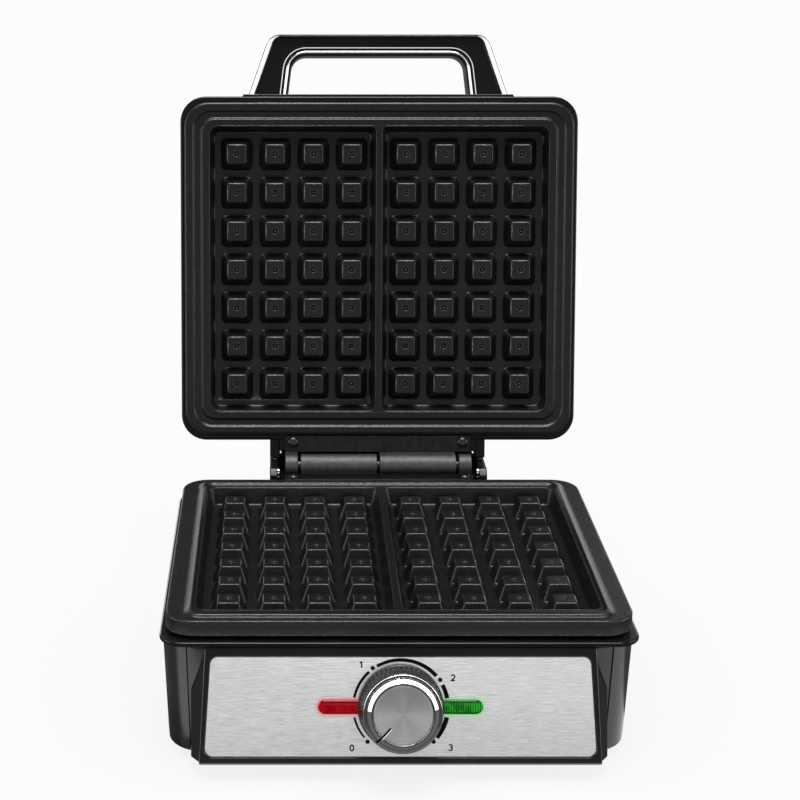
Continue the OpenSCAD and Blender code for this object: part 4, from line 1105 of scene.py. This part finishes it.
def dial_marks():
    """Printed scale: a line that grows along its length, four dots and four plain numbers."""
    bm = bmesh.new()

    def pt(r, a, z):
        # a: clockwise from straight down, in degrees
        t = math.radians(a)
        return (-r * math.sin(t), -r * math.cos(t), z)

    def width(a):
        return lerp(0.95, 2.55, (a - 45) / 265)

    for a0, a1 in ((49.5, 77.3), (101.5, 138.3), (149.9, 229.0), (241.9, 259.3), (282.5, 310.4)):
        n = max(6, int((a1 - a0) / 2.5))
        R = []
        for i in range(n + 1):
            a = lerp(a0, a1, i / n)
            w = width(a) / 2
            R.append([pt(23.7 - w, a, 0.005), pt(23.7 + w, a, 0.005), pt(23.7 + w, a, 0.045), pt(23.7 - w, a, 0.045)])
        loft(bm, R, cap0=True, cap1=True)
    for a in (43.5, 144.5, 235.3, 316.5):
        x, y, _ = pt(24.05, a, 0)
        dot = [[(x + 1.12 * math.cos(t) * k, y + 1.12 * math.sin(t) * k, z) for t in (2 * math.pi * i / 20 for i in range(20))] for k, z in ((1, 0.005), (1, 0.04), (0.9, 0.045))]
        loft(bm, dot, cap0=True, cap1=True)
    finish_mesh(bm, "dial_scale", T_PANEL, "base", M["print_black"], [], sharp=40, wn=False)

    def stroke(b, line, w=0.7):
        """A drawn line of one width, as a thin strip."""
        R = []
        for k, (x, y) in enumerate(line):
            p0, p1 = line[max(k - 1, 0)], line[min(k + 1, len(line) - 1)]
            dx, dy = p1[0] - p0[0], p1[1] - p0[1]
            d = math.hypot(dx, dy)
            nx, ny = -dy / d * w / 2, dx / d * w / 2
            R.append([(x - nx, y - ny, 0.005), (x + nx, y + ny, 0.005), (x + nx, y + ny, 0.045), (x - nx, y - ny, 0.045)])
        loft(b, R, cap0=True, cap1=True)

    def arc(cx, cy, rx, ry, a0, a1, n=16):
        return [(cx + rx * math.cos(math.radians(lerp(a0, a1, i / n))), cy + ry * math.sin(math.radians(lerp(a0, a1, i / n)))) for i in range(n + 1)]

    shapes = {
        "0": [arc(0, 0, 0.95, 1.5, 0, 180), arc(0, 0, 0.95, 1.5, 180, 360)],
        "1": [[(0.25, -1.7), (0.25, 1.72)], [(-0.72, 0.95), (-0.3, 1.12), (0.06, 1.42), (0.22, 1.72)]],
        "2": [arc(0, 0.72, 0.95, 0.82, 170, -28) + [(0.3, -0.5), (-0.95, -1.46)], [(-1.2, -1.48), (1.1, -1.48)]],
        "3": [arc(0, 0.78, 0.88, 0.76, 150, -90), arc(0, -0.72, 1.0, 0.8, 90, -150)],
    }
    for txt, x, y in (("0", -24.4, -20.6), ("1", -19.8, 21.3), ("2", 26.2, 14.7), ("3", 25.0, -20.4)):
        bm = bmesh.new()
        for line in shapes[txt]:
            stroke(bm, [(x + 0.95 * px, y + 0.95 * py) for px, py in line])
        finish_mesh(bm, "dial_number_" + txt, T_PANEL, "base", M["print_black"], [], sharp=40, wn=False, merge=0)


dial_marks()


# ------------------------------------------------------------------ knob, in its own frame
def knob():
    bm = bmesh.new()
    prof = [(6.4, 1.6), (6.4, 2.6), (17.5, 2.6), (17.5, 1.6), (18.0, 1.4), (21.2, 1.4), (21.5, 1.6), (21.6, 2.0), (21.6, 2.7), (21.45, 3.05), (21.1, 3.2),
            (21.15, 3.6), (21.05, 4.0), (20.8, 8), (20.45, 12), (20.05, 16.2), (19.9, 16.9), (19.5, 17.3), (18.8, 17.4), (15.0, 17.4), (15.0, 16.4), (6.4, 16.4)]
    lathe(bm, prof, n=432, around=True, flutes=(54, 0.8, 12, 15))
    finish_mesh(bm, "knob_grip", T_KNOB, "knob", M["grip"], ["knob_skirt"], sharp=50, bake=True)
    bm = bmesh.new()
    prof = arc_line([(14.95, 17.4), (19.6, 17.4, 0.35), (19.6, 18.75, 0.5), (18.1, 18.9, 0.1), (18.05, 18.3), (17.65, 18.3), (17.55, 20.0, 0.12), (15.75, 21.4, 0.3), (14.95, 21.35, 0.15), (14.95, 19)], 5)
    lathe(bm, prof, n=160, around=True)
    finish_mesh(bm, "knob_chrome_ring", T_KNOB, "knob", M["chrome"], ["knob_bevel_ring"], sharp=40, bake=True)
    bm = bmesh.new()
    prof = [(14.8, 17.4), (14.8, 20.9), (14.65, 21.12), (14.4, 21.2)]
    for i in range(1, 14):
        r = 14.4 * (1 - i / 14.0)
        prof.append((r, 20.5 + 0.7 * (r / 14.4) ** 2))
    lathe(bm, prof, n=160, cap0=True, cap1=True)
    finish_mesh(bm, "knob_spun_face", T_PANEL, "knob", M["alu_spun"], ["knob_face"], sharp=40)
    # pointer: a black line across the face and the ring, with a light edge
    def bar(x0, x1, zo):
        b = bmesh.new()
        line = [(-8.7, 20.55 + 0.7 * (8.7 / 14.4) ** 2), (-11.6, 20.5 + 0.7 * (11.6 / 14.4) ** 2 + 0.05), (-14.4, 21.25), (-14.9, 21.45), (-15.9, 21.42), (-19.1, 18.98)]
        R = [[(x0, y, z - 0.3), (x1, y, z - 0.3), (x1, y, z + zo), (x0, y, z + zo)] for y, z in line]
        loft(b, R, cap0=True, cap1=True)
        return b
    finish_mesh(bar(-0.5, 0.5, 0.06), "knob_pointer_line", T_KNOB, "knob", M["print_black"], ["knob_pointer"], sharp=30, wn=False, bake=True)
    finish_mesh(bar(0.5, 0.82, 0.08), "knob_pointer_edge", T_KNOB, "knob", M["chrome"], [], sharp=30, wn=False, bake=True)


knob()


# ------------------------------------------------------------------ outer plain pieces: copies of the solids with rounded edges
SUB = {q["node"]: q for q in frame["record"]["subparts"]}
SLOT_OF = {k: q["material_slot"] for k, q in SUB.items()}


def softened(node, key, width, angle=28, segs=3):
    src = NODES[node]
    bm = bmesh.new()
    bm.from_mesh(src.data)
    bmesh.ops.remove_doubles(bm, verts=bm.verts, dist=1e-6)
    me = bpy.data.meshes.new(node + "_soft")
    bm.to_mesh(me)
    bm.free()
    me.polygons.foreach_set("use_smooth", [True] * len(me.polygons))
    ob = bpy.data.objects.new(node + "_soft", me)
    bpy.context.scene.collection.objects.link(ob)
    ob.matrix_world = src.matrix_world.copy()
    me.materials.append(M[key])
    m = ob.modifiers.new("bevel", "BEVEL")
    m.width = width * 0.001
    m.segments = segs
    m.limit_method = "ANGLE"
    m.angle_limit = math.radians(angle)
    m.use_clamp_overlap = True
    m.miter_outer = "MITER_ARC"
    n = ob.modifiers.new("wn", "WEIGHTED_NORMAL")
    n.weight = 80
    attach(ob, "base")
    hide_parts(node)
    return ob


softened("base_bottom_cover", "black_body", 0.5)
softened("rubber_feet", "rubber", 0.6)
softened("cord_gland", "black_satin", 0.5)
softened("bottom_cover_screws", "steel_plain", 0.3)

# ------------------------------------------------------------------ CAD nodes that stay, inside the housing
for name, ob in NODES.items():
    if ob.hide_render:
        continue
    slot = SLOT_OF.get(name, "steel_plain")
    ob.data.materials.clear()
    # painted shade: the hinge pin takes the black screw finish instead of its slot's plain steel, so that it stays dark
    # in the gaps between the barrels
    ob.data.materials.append(M["screw_black"] if name == "hinge_pin" else M.get(slot, M["steel_plain"]))

# ------------------------------------------------------------------ floor, light, camera
bm = bmesh.new()
N = 24
vs = [[bm.verts.new((-9 + 18 * i / N, -9 + 18 * j / N, 0)) for i in range(N + 1)] for j in range(N + 1)]
for j in range(N):
    for i in range(N):
        bm.faces.new((vs[j][i], vs[j][i + 1], vs[j + 1][i + 1], vs[j + 1][i]))
me = bpy.data.meshes.new("floor")
bm.to_mesh(me)
bm.free()
floor = bpy.data.objects.new("floor", me)
bpy.context.scene.collection.objects.link(floor)
me.materials.append(make_floor())

world = bpy.data.worlds.new("studio")
bpy.context.scene.world = world
world.use_nodes = True
nt = world.node_tree
bg = nt.nodes["Background"]
bg.inputs["Color"].default_value = (0.99, 0.99, 1.0, 1)
# a white room for the floor, and a dim one in what the object mirrors, as round a dark tent
lp = nt.nodes.new("ShaderNodeLightPath")
mr = nt.nodes.new("ShaderNodeMapRange")
mr.inputs["To Min"].default_value = 0.85
mr.inputs["To Max"].default_value = 0.055
nt.links.new(lp.outputs["Is Glossy Ray"], mr.inputs["Value"])
sky = nt.nodes.new("ShaderNodeMath")
sky.operation = "MULTIPLY_ADD"
sky.inputs[1].default_value = 0.115
nt.links.new(lp.outputs["Is Camera Ray"], sky.inputs[0])
nt.links.new(mr.outputs["Result"], sky.inputs[2])
nt.links.new(sky.outputs[0], bg.inputs["Strength"])
if hasattr(world, "cycles"):
    world.cycles.sampling_method = "NONE"


def aim(ob, loc, target):
    bpy.context.scene.collection.objects.link(ob)
    ob.location = loc
    ob.rotation_euler = (Vector(target) - Vector(loc)).to_track_quat("-Z", "Y").to_euler()
    return ob


def area(name, loc, target, size, radiance, colour=(1, 1, 1)):
    """Soft box of a given brightness."""
    li = bpy.data.lights.new(name, "AREA")
    li.shape = "RECTANGLE"
    li.size, li.size_y = size
    li.energy = radiance * math.pi * size[0] * size[1]
    li.color = colour
    return aim(bpy.data.objects.new(name, li), loc, target)


sun = bpy.data.lights.new("overhead", "SUN")
sun.energy = 0.8
sun.angle = math.radians(20)
aim(bpy.data.objects.new("overhead", sun), (0, -0.2, 2.0), (0, 0, 0))

# the studio lights reach the object only, and each group of finishes has its own
PIECES = [o for o in bpy.context.scene.objects if o.type == "MESH" and o is not floor]


def group(name, test):
    c = bpy.data.collections.new(name)
    for o in PIECES:
        if test(o):
            c.objects.link(o)
    return c


def finish_of(o):
    return {m.name for m in o.data.materials if m}


PLATES = {"nonstick_coat"}
PLASTIC = {"black_gloss_moulding", "black_body_moulding", "rubber_foot"}
LENS = {"red_window", "green_window"}
G_ALL = group("lit_all", lambda o: True)
G_PLATE = group("lit_plates", lambda o: finish_of(o) & PLATES)
G_PLASTIC = group("lit_plastic", lambda o: finish_of(o) & PLASTIC and not o.name.startswith("control_bezel"))
G_METAL = group("lit_metal", lambda o: not finish_of(o) & (PLATES | PLASTIC | LENS | {"black_rim_moulding", "dial_print"}) and not o.name.startswith("knob_chrome"))
G_BODY = group("lit_body", lambda o: "black_body_moulding" in finish_of(o))
G_SIDE = group("lit_side", lambda o: "black_body_moulding" not in finish_of(o) and not o.name.startswith("control_bezel"))
G_TOP = group("lit_top", lambda o: not o.name.startswith("lid_steel"))
G_RIM = group("lit_rim", lambda o: "black_rim_moulding" in finish_of(o))
G_BEZEL = group("lit_bezel", lambda o: o.name.startswith("control_bezel"))
G_BACK = group("lit_back", lambda o: o.name.startswith("lid_steel"))
G_BACK2 = group("lit_back_dark", lambda o: o.name.startswith(("hinge_tower", "cord_gland", "base_bottom", "bottom_cover")))
G_RING = group("lit_ring", lambda o: o.name.startswith("knob_chrome"))
G_REAR = group("lit_from_rear", lambda o: not finish_of(o) & (PLATES | PLASTIC | {"black_rim_moulding", "brushed_lid_steel"}) or o.name.startswith("handle"))


def lamp(coll, *a):
    ob = area(*a)
    ob.visible_camera = False
    ob.light_linking.receiver_collection = coll
    return ob


BLUISH = (0.97, 0.95, 1.0)
lamp(G_TOP, "overhead_box", (0, -0.25, 1.7), (0, -0.1, 0), (1.3, 0.9), 7.0)
lamp(G_BACK, "overhead_lid", (0, 0.9, 2.4), (0, 0, 0), (3.2, 1.3), 0.75)
lamp(G_METAL, "front_metal", (0, -4.0, 1.3), (0, 0, 0.9), (8.0, 2.4), 1.05)
lamp(G_PLATE, "front_plates", (0, -4.0, 0.75), (0, 0, 0.6), (6.0, 1.1), 0.52)
lamp(G_PLASTIC, "front_plastic", (0, -4.0, 1.0), (0, 0, 0.6), (6.0, 1.4), 0.15)
lamp(G_RIM, "front_rim", (0, -4.0, 1.0), (0, 0, 0.6), (6.0, 1.4), 0.3)
lamp(G_SIDE, "left_side", (-1.3, -0.25, 0.45), (0, -0.05, 0.2), (0.9, 0.8), 2.2)
lamp(G_BODY, "left_side_body", (-1.3, -0.25, 0.45), (0, -0.05, 0.2), (0.9, 0.8), 0.3)
lamp(G_SIDE, "right_side", (1.3, -0.25, 0.45), (0, -0.05, 0.2), (0.9, 0.8), 2.2)
lamp(G_BODY, "right_side_body", (1.3, -0.25, 0.45), (0, -0.05, 0.2), (0.9, 0.8), 0.4)
for grp, tag, rl, rr in ((G_REAR, "", 3.5, 3.5), (G_PLATE, "_plates", 1.4, 1.5), (G_RIM, "_rim", 4.0, 3.2)):
    lamp(grp, "rear_left" + tag, (-1.25, 2.9, 0.7), (-0.1, 0, 0.1), (1.3, 1.3), rl)
    lamp(grp, "rear_right" + tag, (1.45, 2.9, 0.7), (0.1, 0, 0.1), (1.3, 1.3), rr)
lamp(G_RING, "ring_left", (-1.1, -0.15, 1.15), (0, -0.1, 0.1), (1.1, 1.45), 3.0)
lamp(G_RING, "ring_right", (1.1, -0.15, 1.15), (0, -0.1, 0.1), (1.1, 1.45), 3.0)
lamp(G_BODY, "table_left", (-0.19, -0.2875, 0.004), (-0.19, -0.2875, 1), (0.22, 0.305), 0.2, BLUISH)
lamp(G_BODY, "table_left_near", (-0.194, -0.183, 0.006), (-0.194, -0.183, 1), (0.152, 0.085), 1.75, BLUISH)
lamp(G_BODY, "table_left_far", (-0.22, -0.085, 0.006), (-0.22, -0.085, 1), (0.14, 0.07), 0.05, BLUISH)
lamp(G_BODY, "table_right", (0.20, -0.27, 0.004), (0.20, -0.27, 1), (0.24, 0.34), 1.35, BLUISH)
lamp(G_BEZEL, "table_mid", (0, -0.33, 0.004), (0, -0.33, 1), (0.23, 0.4), 2.6, BLUISH)
lamp(G_BEZEL, "bezel_left", (-1.6, -1.0, 0.45), (-0.1, -0.15, 0.05), (2.0, 1.3), 7.0)
lamp(G_BEZEL, "bezel_right", (1.6, -1.0, 0.45), (0.1, -0.15, 0.05), (2.0, 1.3), 7.0)
lamp(G_PLATE, "table_front", (0, -0.45, 0.004), (0, -0.45, 1), (0.6, 0.55), 0.35)
lamp(G_BACK, "back_wall", (0, 3.2, 1.5), (0, 0, 0.25), (4.5, 2.4), 0.9)
lamp(G_BACK2, "back_wall_dark", (0, 3.2, 1.5), (0, 0, 0.25), (4.5, 2.4), 0.5)

cam = bpy.data.cameras.new("camera")
cam.sensor_width = 36.0
cam.lens = 1779.0 / 800.0 * 36.0
cam.shift_x = (400 - 282.2) / 800.0
cam.shift_y = 0.0
cam.clip_start, cam.clip_end = 0.05, 50
camo = bpy.data.objects.new("camera", cam)
bpy.context.scene.collection.objects.link(camo)
camo.location = (-0.0593, -0.95193, 0.4589)
camo.rotation_euler = (math.radians(90 - 17.98), 0, 0)
bpy.context.scene.camera = camo
bpy.context.scene.view_settings.view_transform = "Standard"
bpy.context.scene.view_settings.look = "None"
bpy.context.scene.view_settings.exposure = 0.0

bpy.context.view_layer.update()
